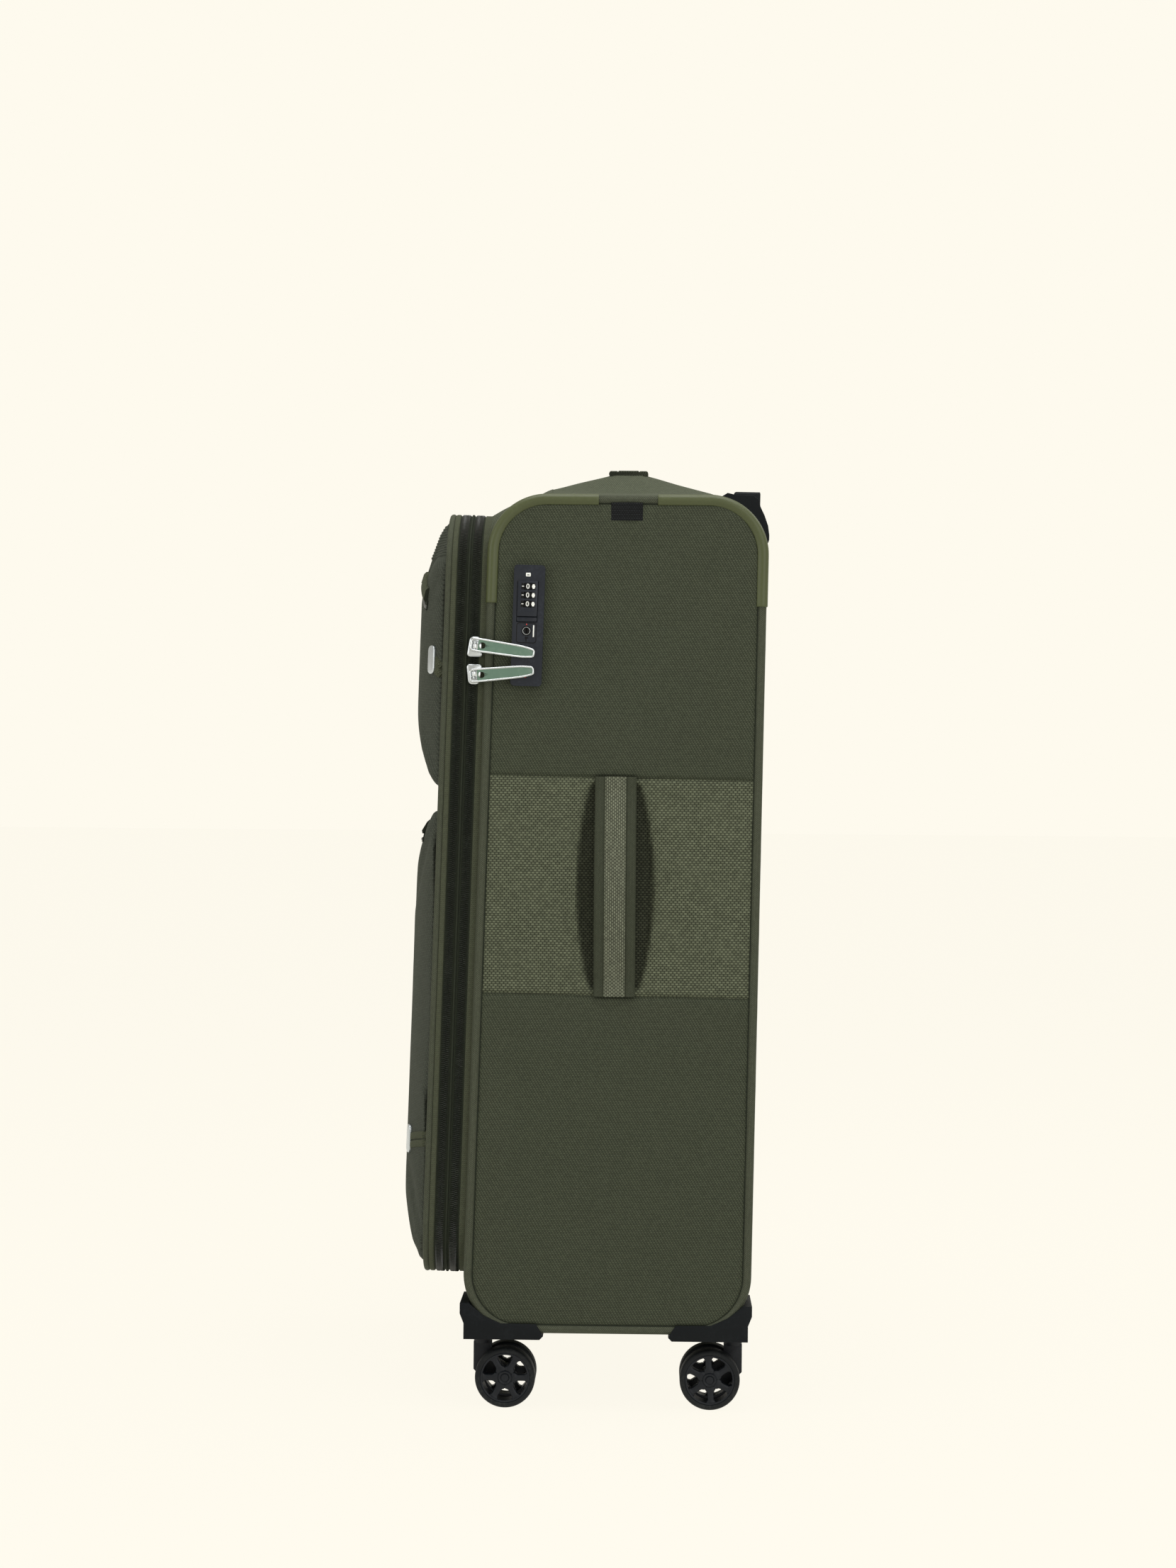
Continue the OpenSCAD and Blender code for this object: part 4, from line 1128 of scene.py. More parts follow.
def ribPlace(u, v):
    z = ribShape["from"] + (ribShape["to"] - ribShape["from"]) * v
    half = min(ribShape["half"], lidSpan(z, 0.0085))
    x = half * (1 - 2 * ease(u, 0.08))
    wave = abs(math.sin(math.pi * v * ribCount))
    return inFront(x, probes["upperPocket"](x, z) + 0.0003 + ribShape["high"] * wave, z)


ribPanel = shapedGrid("ribbedTop", 80, ribCount * 6, ribPlace, (0.41, 0.03), (0, 0.1, 0.6), merge=False)
thicken(ribPanel, 0.0008, angle=60)
finish(ribPanel, "lid_front", finishes["pocketTwill"])

# Blank plates on the pockets' rounded sides, and the sewn bands that run from each to the pocket's seam
badgeShape = {"width": 0.010, "high": 0.0235, "thick": 0.0026, "round": 0.0044, "sink": 0.0006}
bandShape = {"width": 0.0062, "high": 0.0012, "pitch": 0.0068, "toX": 0.2212}
badgeRows = {"Upper": ("upperPocket", 0.2120, 0.6150, -0.0075), "Lower": ("lowerPocket", 0.1870, 0.2160, 0.0060)}
bandProfile = [(bandShape["width"] * across, bandShape["high"] * lift) for across, lift in (
    (-0.5, 0.05), (-0.44, 0.75), (-0.2, 1), (0.2, 1), (0.44, 0.75), (0.5, 0.05))]
for label, (pocketName, badgeX, badgeZ, drop) in badgeRows.items():
    probe = probes[pocketName]
    for row in (0, 1):
        def bandRoute(u, row=row, badgeX=badgeX, badgeZ=badgeZ, drop=drop):
            x = badgeX + 0.002 + (bandShape["toX"] - badgeX - 0.002) * u
            return x, badgeZ + (0.5 - row) * bandShape["pitch"] - 0.002 + drop * u ** 0.8
        onPocket("sewnBand" + label + "AB"[row], probe, bandRoute, bandProfile, 60, "rimTwill")
    half = badgeShape["width"] / 2
    fall = probe(badgeX - half, badgeZ) - probe(badgeX + half, badgeZ)
    turn = math.atan2(fall, badgeShape["width"])
    bar = block("badge" + label, (badgeShape["width"], badgeShape["thick"], badgeShape["high"]))
    inEditMode(bar, "EDGE", lambda e: abs(e.verts[0].co.y - e.verts[1].co.y) > 0.001,
               lambda: bpy.ops.mesh.bevel(offset=badgeShape["round"], segments=7))
    inEditMode(bar, "FACE", lambda f: f.normal.y < -0.9,
               lambda: bpy.ops.mesh.inset(thickness=0.0018),
               lambda: bpy.ops.transform.translate(value=(0, -0.0004, 0)))
    beveled(bar, 0.0005, 3)
    outward = probe(badgeX, badgeZ) + badgeShape["thick"] / 2 - badgeShape["sink"]
    bar.data.transform(leaning(inFront(badgeX, outward, badgeZ)) @ Matrix.Rotation(turn, 4, "Z"))
    finish(bar, "lid_front", finishes["badgeMetal"], ["badge_plates"])


def makeSmallSlider(name, node, x, n, z, lie):
    # a pocket slider: body with a raised bridge, and a pull that lies along the zip
    shell = block(name, (0.012, 0.0086, 0.0028), (0, 0, 0.0016))
    inEditMode(shell, "VERT", lambda v: v.co.x < 0 and v.co.z > 0,
               lambda: bpy.ops.transform.resize(value=(1, 0.6, 1)))
    beveled(shell, 0.0009, 3)
    bridge = block(name + "Bridge", (0.0075, 0.0026, 0.0022), (0, 0, 0.0038))
    beveled(bridge, 0.0008, 3)
    pull = block(name + "Pull", (0.027, 0.0066, 0.0014), (0.0135, 0, 0.0042))
    inEditMode(pull, "EDGE", lambda e: abs(e.verts[0].co.z - e.verts[1].co.z) > 0.001,
               lambda: bpy.ops.mesh.bevel(offset=0.002, segments=4))
    inEditMode(pull, "FACE", lambda f: f.normal.z > 0.9, lambda: bpy.ops.mesh.inset(thickness=0.0011),
               lambda: bpy.ops.transform.translate(value=(0, 0, -0.0004)))
    beveled(pull, 0.0003, 2)
    slider = join(name, [shell, bridge, pull])
    spot = inFront(x, n, z)
    turn = Matrix.Rotation(math.pi / 2 - leanF, 4, "X") if lie == "front" else Matrix.Rotation(-leanF, 4, "X")
    slider.data.transform(Matrix.Translation(spot) @ turn)
    return finish(slider, node, finishes["satinMetal"], [node])


farX = -(lidX - 0.074)
for name, node, probeName, route in (("upperPocketSlider", "upper_pocket_slider", "upperPocket", upperRoute),
                                     ("lowerPocketSlider", "lower_pocket_slider", "lowerPocket", lowerRoute)):
    u = (1 - farX / openingShape["reach"]) / 2
    x, z = route(-0.0050)(u)
    makeSmallSlider(name, node, x, max(probes[probeName](x + k, z) for k in (-0.006, 0, 0.028)) + 0.0014, z,
                    "front")
makeSmallSlider("expanderSlider", "expander_slider", farX, 0.0215, lidTop - 0.0008, "top")

print("stage: carrying straps")

strapShape = {"width": 0.034, "plain": 0.0082, "rise": 0.0112, "seam": 0.012, "thick": 0.0036, "face": 0.2338,
              "stitch": 0.0026, "thread": 0.00042}


def strapArch(t, length, rise, seam):
    s = min(max((t * length - seam) / (length - 2 * seam), 0), 1)
    return rise * math.sin(math.pi * s)


def strapProfile(half, thick, wovenLift=0.0005):
    # across the strap: plain folded borders with a raised woven middle, then round the edge and underneath
    plain = strapShape["plain"]
    woven = half - plain
    top = [(-half, 0.35), (-half + 0.0006, 0.82), (-half + 0.0016, 1.0), (-woven - 0.0012, 1.0),
           (-woven - 0.0005, 0.84), (-woven, 0.86), (-woven + 0.0006, 1.0)]
    full = top + [(-y, lift) for y, lift in reversed(top)]
    points = [(y, thick * lift + (wovenLift if abs(y) < woven - 0.0004 else 0)) for y, lift in full]
    return points + [(half - 0.001, 0), (-half + 0.001, 0)]


def makeStrap(name, across, rise, length, at):
    # at(p, s, q): p along the strap, s across it, q out of it
    half = across / 2
    profile = strapProfile(half, strapShape["thick"])
    rows = len(profile)
    marks = runMarks(profile + profile[:1])

    def place(u, v):
        k = int(round(v * rows)) % rows
        s, q = profile[k]
        return at(u * length, s, q + strapArch(u, length, rise, strapShape["seam"]))

    strap = shapedGrid(name, 96, rows, place, (length, 1))
    spreadUv(strap, rows, marks)
    capEnds(strap)
    strap.data.materials.append(finishes["strapPlain"])
    strap.data.materials.append(finishes["strapWoven"])
    wide = [i for i in range(rows) if abs(profile[i][0]) < half - strapShape["plain"] + 0.0002
            and abs(profile[(i + 1) % rows][0]) < half - strapShape["plain"] + 0.0002
            and profile[i][1] > 0.002]
    low, high = min(marks[i] for i in wide), max(marks[i + 1] for i in wide)
    for face in strap.data.polygons:
        vs = [strap.data.uv_layers.active.data[k].uv[1] for k in face.loop_indices]
        face.material_index = 1 if low - 1e-5 < min(vs) and max(vs) < high + 1e-5 and len(vs) == 4 else 0
    smooth(strap, 40)
    return strap


def stitchRow(name, spots, pitch, length, radius, lift):
    # a row of raised stitches along a line of (point, direction, outward) samples
    stitch = addPrimitive("cylinder", "stitch", vertices=6, radius=radius, depth=length,
                          rotation=(0, math.pi / 2, 0))
    inEditMode(stitch, "VERT", lambda v: True, lambda: bpy.ops.mesh.subdivide(number_cuts=1))
    corners = [v.co.copy() for v in stitch.data.vertices]
    half = max(c.x for c in corners)
    faces = [tuple(p.vertices) for p in stitch.data.polygons]
    bpy.data.objects.remove(stitch)
    verts, polys = [], []
    marks = [0]
    for one, two in zip(spots, spots[1:]):
        marks.append(marks[-1] + (two[0] - one[0]).length)
    for k in range(int(marks[-1] / pitch)):
        s = (k + 0.5) * pitch
        i = min(bisect_right(marks, s) - 1, len(spots) - 2)
        t = (s - marks[i]) / max(marks[i + 1] - marks[i], 1e-9)
        centre = spots[i][0].lerp(spots[i + 1][0], t)
        along = (spots[i + 1][0] - spots[i][0]).normalized()
        out = spots[i][1]
        side = along.cross(out)
        base = len(verts)
        for corner in corners:
            sag = (corner.x / half) ** 2 * radius * 1.2
            verts.append(centre + along * corner.x + side * corner.y + out * (corner.z + lift - sag))
        polys += [tuple(base + n for n in face) for face in faces]
    return fromFaces(name, verts, polys, 60)


strapZ0, strapLength = strapLow.z - 0.0005, strapHigh.z - strapLow.z + 0.001
strapMiddle = lensShape["middle"]


def onSideStrap(p, s, q):
    return Vector((strapShape["face"] + q, strapMiddle + s, strapZ0 + p))


sideStrap = makeStrap("sideStrap", strapShape["width"], strapShape["rise"], strapLength, onSideStrap)
finish(sideStrap, "case", None, ["side_handle"])


def strapStitches(name, at, length, rise, offsets):
    rows = []
    for n, offset in enumerate(offsets):
        spots = []
        for i in range(60):
            u = 0.004 + 0.992 * i / 59
            arch = strapArch(u, length, rise, strapShape["seam"])
            spots.append((at(u * length, offset, strapShape["thick"] * 0.86 + arch),
                          (at(u * length, offset, 1) - at(u * length, offset, 0)).normalized()))
        rows.append(stitchRow(name + str(n), spots, strapShape["stitch"], strapShape["stitch"] * 0.72,
                              strapShape["thread"], 0.0003))
    return finish(join(name, rows), "case", finishes["stitchThread"])


seamOffset = strapShape["width"] / 2 - strapShape["plain"] - 0.0004
strapStitches("sideStrapStitches", onSideStrap, strapLength, strapShape["rise"], (-seamOffset, seamOffset))

topStrap = {"length": topStrapHigh.x - topStrapLow.x, "top": topStrapHigh.z, "width": 0.034, "crest": 0.083,
            "arch": 0.0012, "sink": 0.0006}


def topStrapBase(x):
    # follows the padded rise to its crest and stays level over the hollow for the hand
    crest = topStrap["crest"]
    far = x if abs(x) > crest else crest
    level = caseShape["top"] + gussetShape["topCrown"] * acrossCrown(far) + hillRise(far, strapY)
    return level if abs(x) > crest else level + topStrap["arch"] * (1 - (x / crest) ** 2)


def onTopStrap(p, s, q):
    x = p - topStrap["length"] / 2
    return Vector((x, strapY + s, min(topStrapBase(x) + q - topStrap["sink"], topStrap["top"])))


topBand = makeStrap("topStrap", topStrap["width"], 0, topStrap["length"], onTopStrap)
faceOut(topBand)
finish(topBand, "case", None, ["top_handle"])
strapStitches("topStrapStitches", onTopStrap, topStrap["length"], 0, (-seamOffset, seamOffset))

tabLow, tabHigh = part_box("webbing_tab")


def tabPlace(u, v):
    y = tabLow.y + (tabHigh.y - tabLow.y) * u
    z = tabHigh.z + 0.001 - (tabHigh.z - tabLow.z + 0.001) * v
    x = tabHigh.x - 0.0012 + 0.00035 * abs(math.sin(v * math.pi * 5)) + 0.0008 * math.sin(math.pi * u) - 0.0003
    return Vector((x, y, z))


tab = shapedGrid("webbingTab", 26, 40, tabPlace, (0.026, 0.015), (0, 0.03, 0.7), merge=False)
addModifier(tab, "SOLIDIFY", thickness=0.0016, offset=-1)
beveled(tab, 0.0003, 2, 60)
finish(tab, "case", finishes["blackWebbing"], ["webbing_tab"])

print("stage: lock")

lockShape = {"bevel": 0.0014, "corner": 0.0030, "setBack": 0.0345, "face": 0.241, "top": 0.694, "keyDrop": 0.054,
             "off": -0.001, "dials": (0.0177, 0.0249, 0.0321), "dialRadius": 0.010, "flat": math.radians(18),
             "digit": 0.0058}


def onLock(drop, across, out):
    # a place on the lock: drop down from its top, across its width, out from its face
    y = lockShape["setBack"] + across
    z = lockShape["top"] - drop
    return Vector((lockShape["face"] + out, *inFront(0, -y, z)[1:]))


housing = refined("lock_housing", "lockHousing", 0)
plateLow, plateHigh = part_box("lock_housing")
inEditMode(housing, "EDGE", lambda e: min(v.co.x for v in e.verts) > panelShape["face"] - 0.001
           and abs(e.verts[0].co.x - e.verts[1].co.x) > 0.003
           and (e.verts[0].co.z > plateHigh.z - 0.004 or e.verts[0].co.z < plateLow.z + 0.004),
           lambda: bpy.ops.mesh.bevel(offset=lockShape["corner"], segments=6))
beveled(housing, lockShape["bevel"], 3, 55)
finish(housing, "case", finishes["lockShell"], ["lock_housing"])
for index, label in enumerate(("upper", "middle", "lower")):
    dial = refined("lock_dial_" + label, "lockDial" + label.title(), 0.0005, 2, 25)
    finish(dial, "lock_dial_" + label, finishes["dialShell"], ["lock_dial_" + label])
    drop = lockShape["dials"][index]
    axis = Vector((lockShape["face"] - lockShape["dialRadius"] * math.cos(lockShape["flat"]),
                   *onLock(drop, lockShape["off"], 0)[1:]))
    digits = []
    for number in range(10):
        bpy.ops.object.select_all(action="DESELECT")
        bpy.ops.object.text_add()
        text = bpy.context.object
        text.data.body = str(number)
        text.data.size, text.data.extrude, text.data.offset = lockShape["digit"], 0.00006, 0.00012
        text.data.resolution_u = 3
        text.data.align_x, text.data.align_y = "CENTER", "CENTER"
        text.name = "digit"
        bpy.ops.object.convert(target="MESH")
        text = bpy.context.object
        face = lockShape["dialRadius"] * math.cos(lockShape["flat"]) + 0.00003
        upright = Matrix.Rotation(math.radians(90), 4, "Z") @ Matrix.Rotation(math.radians(90), 4, "X")
        text.data.transform(leaning(axis) @ Matrix.Rotation(math.radians(36 * number), 4, "Z")
                            @ Matrix.Translation((face, 0, 0)) @ upright)
        digits.append(text)
    numbers = join("dialNumbers" + label.title(), digits)
    finish(numbers, "lock_dial_" + label, finishes["markWhite"])

release = refined("lock_release", "lockRelease", 0.0006, 3, 40)
finish(release, "lock_release", finishes["lockShell"], ["lock_release"])
barrel = refined("lock_key_barrel", "lockKeyBarrel", 0.0003, 2, 40)
finish(barrel, "lock_key_barrel", finishes["dialShell"], ["lock_key_barrel"])


def lockMark(name, kind, drop, across, shape, cover, **settings):
    mark = addPrimitive(kind, name, **settings)
    mark.data.transform(Matrix.Diagonal((*shape, 1)))
    beveled(mark, min(shape) * 0.2, 2)
    mark.data.transform(leaning(onLock(drop, across, 0)))
    return finish(mark, "case", finishes[cover])


def lockPlate(name, drop, across, depth, width, height, out, corner, cover, hole=0):
    # a thin plate on the lock with rounded corners; hole is the rim left round an opening
    plate = block(name, (depth, width, height))
    if corner:
        inEditMode(plate, "EDGE", lambda e: abs(e.verts[0].co.x - e.verts[1].co.x) > depth * 0.6,
                   lambda: bpy.ops.mesh.bevel(offset=corner, segments=5))
    if hole:
        inEditMode(plate, "FACE", lambda f: abs(f.normal.x) > 0.9, lambda: bpy.ops.mesh.inset(thickness=hole),
                   lambda: bpy.ops.mesh.bridge_edge_loops())
    beveled(plate, min(depth * 0.3, 0.0002), 2)
    plate.data.transform(leaning(onLock(drop, across, out)))
    return finish(plate, "case", finishes[cover])


# The dials' cover: one window for each dial, with a dark patch, a line and a pointer beside it
coverShape = {"drop": 0.0276, "width": 0.0162, "high": 0.0288, "out": 0.0011, "thick": 0.0008, "window": 0.0062,
              "windowHigh": 0.0056}
dialCover = block("dialCover", (coverShape["thick"], coverShape["width"], coverShape["high"]))
for drop in lockShape["dials"]:
    opening = block("opening", (0.01, coverShape["window"], coverShape["windowHigh"]),
                    (0, 0, coverShape["drop"] - drop))
    addModifier(dialCover, "BOOLEAN", object=opening, operation="DIFFERENCE", solver="EXACT")
    bpy.data.objects.remove(opening)
beveled(dialCover, 0.0002, 2, 50)
dialCover.data.transform(leaning(onLock(coverShape["drop"], lockShape["off"], coverShape["out"])))
finish(dialCover, "case", finishes["lockShell"])
coverFront = coverShape["out"] + coverShape["thick"] / 2
for index, drop in enumerate(lockShape["dials"]):
    off = lockShape["off"]
    for name, across, depth, width, high, lift, cover in (
            ("dialPatchLeft", -0.0042, 0.0002, 0.0022, 0.0052, 0, "dialShell"),
            ("dialPatchRight", 0.0047, 0.0002, 0.0032, 0.0052, 0, "dialShell"),
            ("dialLine", -0.0040, 0.0003, 0.0017, 0.0006, 0.0001, "markWhite")):
        lockPlate(name + str(index), drop, off + across, depth, width, high, coverFront + lift, 0, cover)
    pointer = addPrimitive("cylinder", "dialPointer" + str(index), vertices=6, radius=1, depth=0.0003,
                           rotation=(0, math.pi / 2, 0))
    pointer.data.transform(Matrix.Diagonal((1, 0.0014, 0.0021, 1)))
    pointer.data.transform(Matrix.Translation(onLock(drop, off + 0.0047, coverFront + 0.0001)))
    smooth(pointer, 30)
    finish(pointer, "case", finishes["markWhite"])

# A plain sign at the top, a thin dark frame of painted shade for the groove round the key's panel, the panel's
# line and arrow, and a red dot below
off, keyDrop = lockShape["off"], lockShape["keyDrop"]
lockPlate("lockSign", 0.0080, off, 0.0004, 0.0040, 0.0030, 0.0001, 0.0006, "markWhite")
lockPlate("lockSignBar", 0.0082, off, 0.0002, 0.0018, 0.0006, 0.0004, 0, "lockShell")
# painted shade: a thin dark frame stands in for the shaded outline groove round the key's panel
lockPlate("lockKeyPanel", 0.0556, off, 0.0004, 0.0166, 0.0168, 0.0000, 0.0024, "dialShell", hole=0.0006)
lockPlate("lockKeyLine", keyDrop, off + 0.0058, 0.0003, 0.0010, 0.0096, 0.0001, 0, "markWhite")
lockPlate("lockArrowStem", 0.0616, off, 0.0003, 0.0011, 0.0022, 0.0000, 0, "dialShell")
arrow = addPrimitive("cylinder", "lockArrow", vertices=3, radius=1, depth=0.0003, rotation=(0, math.pi / 2, 0))
arrow.data.transform(Matrix.Rotation(math.radians(30), 4, "X") if min(v.co.z for v in arrow.data.vertices) < -0.9
                     else Matrix.Identity(4))
arrow.data.transform(Matrix.Translation(onLock(0.0597, off, 0)) @ Matrix.Diagonal((1, 0.0021, 0.0015, 1)))
smooth(arrow, 30)
finish(arrow, "case", finishes["dialShell"])
lockMark("lockKeyDot", "uv_sphere", 0.0487, off, (0.0003, 0.0006, 0.0006), "markRed", segments=14, ring_count=8,
         radius=1)
lockMark("lockRedDot", "uv_sphere", 0.0905, off, (0.0005, 0.0017, 0.0017), "markRed", segments=20, ring_count=10,
         radius=1)
for name, radius, rim, lift, cover in (("lockKeyRing", 0.0040, 0.0007, 0.0001, "dialShell"),
                                       ("lockKeyRim", 0.0031, 0.0003, 0.0003, "satinMetal")):
    ring = addPrimitive("cylinder", name, vertices=48, radius=radius, depth=0.0008)
    inEditMode(ring, "FACE", lambda f: abs(f.normal.z) > 0.9, lambda: bpy.ops.mesh.inset(thickness=rim),
               lambda: bpy.ops.mesh.bridge_edge_loops())
    beveled(ring, 0.0001, 2)
    ring.data.transform(Matrix.Translation(onLock(keyDrop, off, lift)) @ Matrix.Rotation(math.radians(90), 4, "Y"))
    finish(ring, "case", finishes[cover])

print("stage: sliders and pulls")

sliderShape = {"n": 0.0085, "foot": lidX + 0.0004, "width": 0.0134, "long": 0.0166, "bail": 0.2408, "wire": 0.0012,
               "zUpper": 0.626, "zLower": 0.6034}
pullShape = {"long": 0.050, "width": 0.012, "tip": 0.0106, "thick": 0.0026, "tilt": 6.8, "off": 0.0015,
             "wire": 0.00095, "hole": 0.0025, "holeAt": 0.0066, "insertFrom": 0.0030}


def makeMainSlider(name, node, z, up):
    # a shield-shaped body, wide where the teeth enter, with a bridge that carries the pull
    foot = sliderShape["foot"]
    body = block(name, (0.0040, sliderShape["width"], sliderShape["long"]))
    inEditMode(body, "FACE", lambda f: f.normal.z * up > 0.9, lambda: bpy.ops.transform.resize(value=(1, 0.66, 1)))
    inEditMode(body, "EDGE", lambda e: abs(e.verts[0].co.x - e.verts[1].co.x) > 0.003,
               lambda: bpy.ops.mesh.bevel(offset=0.0030, segments=5))
    inEditMode(body, "FACE", lambda f: f.normal.x > 0.9,
               lambda: bpy.ops.mesh.inset(thickness=0.0014, depth=0.0007))
    beveled(body, 0.0005, 3)
    body.data.transform(Matrix.Translation((foot + 0.0020, 0, 0)))
    parts = [body]
    for side in (-1, 1):
        high = sliderShape["bail"] + 0.0011 - foot
        post = block(name + "Post", (high, 0.0030, 0.0018))
        beveled(post, 0.0007, 3)
        post.data.transform(Matrix.Translation((foot + high / 2, 0, side * 0.0033)))
        parts.append(post)
    for step in range(3):
        rib = addPrimitive("cylinder", name + "Rib", vertices=16, radius=0.0009, depth=0.0062,
                           rotation=(math.pi / 2, 0, 0))
        beveled(rib, 0.0003, 2)
        rib.data.transform(Matrix.Translation((foot + 0.0044, 0, (step - 1) * 0.0026)))
        parts.append(rib)
    bar = addPrimitive("cylinder", name + "Bar", vertices=24, radius=sliderShape["wire"], depth=0.0076)
    inEditMode(bar, "FACE", lambda f: abs(f.normal.z) > 0.9, lambda: bpy.ops.mesh.inset(thickness=0.0004))
    bar.data.transform(Matrix.Translation((sliderShape["bail"], 0, 0)))
    parts.append(bar)
    slider = join(name, parts)
    smooth(slider, 40)
    slider.data.transform(leaning(inFront(0, sliderShape["n"], z)))
    return finish(slider, node, finishes["satinMetal"], [node])


def pullOutline(inset):
    # the pull's outline from its root to its pointed tip, drawn in by inset
    long, half, tip = pullShape["long"] - inset, pullShape["width"] / 2 - inset, pullShape["tip"] / 2 - inset
    root = -0.0036 + inset
    corners = [(root, -half * 0.74), (root + 0.0016, -half), (long - 0.0105, -tip), (long - 0.0015, -tip * 0.7),
               (long, -tip * 0.52)]
    return corners + [(a, -b) for a, b in reversed(corners)]


def makeMainPull(name, node, z, up):
    # a wire frame round a soft insert, with a round hole near the root and a knuckle round the bar
    count = 90
    loop = pullOutline(pullShape["wire"])
    for _ in range(2):  # rounds the corners
        loop = [point for one, two in zip(loop, loop[1:] + loop[:1])
                for point in ((one[0] * 0.86 + two[0] * 0.14, one[1] * 0.86 + two[1] * 0.14),
                              (one[0] * 0.14 + two[0] * 0.86, one[1] * 0.14 + two[1] * 0.86))]
    ring = loop + [loop[0]]
    marks = runMarks(ring)

    def at(u):
        s = (u % 1) * marks[-1]
        i = min(bisect_right(marks, s) - 1, len(ring) - 2)
        t = (s - marks[i]) / max(marks[i + 1] - marks[i], 1e-9)
        a = ring[i][0] + (ring[i + 1][0] - ring[i][0]) * t
        b = ring[i][1] + (ring[i + 1][1] - ring[i][1]) * t
        return a, b

    def wirePlace(u, v):
        a, b = at(u)
        (a0, b0), (a1, b1) = at(u - 0.004), at(u + 0.004)
        run = math.hypot(a1 - a0, b1 - b0)
        na, nb = (b1 - b0) / run, -(a1 - a0) / run
        turn = 2 * math.pi * v
        r = pullShape["wire"]
        return Vector((r * 1.25 * math.sin(turn), a + na * r * math.cos(turn), b + nb * r * math.cos(turn)))

    wire = shapedGrid(name, count, 12, wirePlace, (0.11, 0.006))
    smooth(wire, 60)
    wire.data.materials.append(finishes["wireMetal"])

    def insertAt(u, v):
        a, b = at(u)
        rimA, rimB = max(a, pullShape["insertFrom"]), b * 0.95
        hole, centre = pullShape["hole"], pullShape["holeAt"]
        angle = math.atan2(rimB, rimA - centre)
        side = 1 if v < 0.5 else -1
        t = abs(v - 0.5) * 2  # 0 at the hole's edge, 1 at the wire
        ha, hb = centre + hole * math.cos(angle), hole * math.sin(angle)
        level = 0.0009 * (1 - (1 - min((1 - t) * 5, 1)) ** 2)
        return Vector((side * level, ha + (rimA - ha) * t, hb + (rimB - hb) * t))

    insert = shapedGrid(name + "Insert", count, 24, insertAt, (0.11, 0.012))
    smooth(insert, 50)
    insert.data.materials.append(finishes["pullerGreen"])
    knuckle = addPrimitive("cylinder", name + "Knuckle", vertices=28, radius=0.0023, depth=0.0040)
    inEditMode(knuckle, "FACE", lambda f: abs(f.normal.z) > 0.9, lambda: bpy.ops.mesh.inset(thickness=0.0009),
               lambda: bpy.ops.mesh.bridge_edge_loops())
    beveled(knuckle, 0.0003, 2)
    neck = block(name + "Neck", (0.0016, 0.0046, 0.0040), (0.0019, 0.0034, 0))
    beveled(neck, 0.0005, 2)
    knuckle.data.materials.append(finishes["wireMetal"])
    neck.data.materials.append(finishes["wireMetal"])
    lift = Matrix.Translation((0.0010 + pullShape["thick"] / 2, 0, up * pullShape["off"])) @ Matrix.Rotation(
        math.radians(up * -pullShape["tilt"]), 4, "X")
    for piece in (wire, insert):
        piece.data.transform(lift)
    pull = join(name, [wire, insert, knuckle, neck])
    pull.data.transform(leaning(inFront(sliderShape["bail"], sliderShape["n"], z)))
    return finish(pull, node, None, [node])


for label, z, up in (("upper", sliderShape["zUpper"], 1), ("lower", sliderShape["zLower"], -1)):
    makeMainSlider("mainSlider" + label.title(), "main_slider_" + label, z, up)
    makeMainPull("mainPull" + label.title(), "main_puller_" + label, z, up)

print("stage: pull-out handle")

housingShape = {"drop": 0.0285, "edge": 0.0022, "gripEdge": 0.0058}
housing = refined("trolley_housing", "handleHousing", 0)
below = addPrimitive("cube", "belowHousing", size=0.5)
below.data.transform(Matrix.Translation((0, 0.12, caseShape["top"] - housingShape["drop"] - 0.25)))
addModifier(housing, "BOOLEAN", object=below, operation="DIFFERENCE", solver="EXACT")
bpy.data.objects.remove(below)
mergeNear(housing, 1e-5, flatten)
beveled(housing, housingShape["edge"], 4, 20)
finish(housing, "case", finishes["guardShell"], ["trolley_housing"])
for node, body, name in (("trolley_outer_tubes", "case", "handleTubesOuter"),
                         ("trolley_middle_tubes", "trolley_middle", "handleTubesMiddle"),
                         ("trolley_upper_tubes", "trolley_upper", "handleTubesUpper")):
    finish(refined(node, name, 0.0005, 2, 50), body, finishes["tubeMetal"], [node])
grip = refined("trolley_grip", "handleGrip", housingShape["gripEdge"], 5, 50)
finish(grip, "trolley_upper", finishes["guardShell"], ["trolley_grip"])
button = refined("trolley_button", "handleButton", 0.0012, 3, 50)
finish(button, "trolley_button", finishes["lockShell"], ["trolley_button"])

print("stage: castors and guards")

guards = refined("corner_guards", "cornerGuards", 0.0020, 3, 22)
finish(guards, "case", finishes["guardShell"], ["corner_guards"])
feet = refined("side_feet", "sideFeet", 0.0024, 4, 50)
finish(feet, "case", finishes["guardShell"], ["side_feet"])

wheelShape = {"radius": 0.0248, "width": 0.017, "tread": 0.0042, "rimIn": 0.0200, "hub": 0.0062, "bore": 0.00315,
              "spokeDepth": 0.0075, "spokeDrop": 0.0012, "spokeHalf": 0.0026}


def turned(name, profile, columns, size, angle):
    # a closed profile of (radius, level) pairs carried round the x axis
    rows = len(profile)

    def place(u, v):
        r, x = profile[int(round(v * rows)) % rows]
        around = 2 * math.pi * u
        return Vector((x, r * math.cos(around), r * math.sin(around)))

    piece = shapedGrid(name, columns, rows, place, size)
    smooth(piece, angle)
    return piece


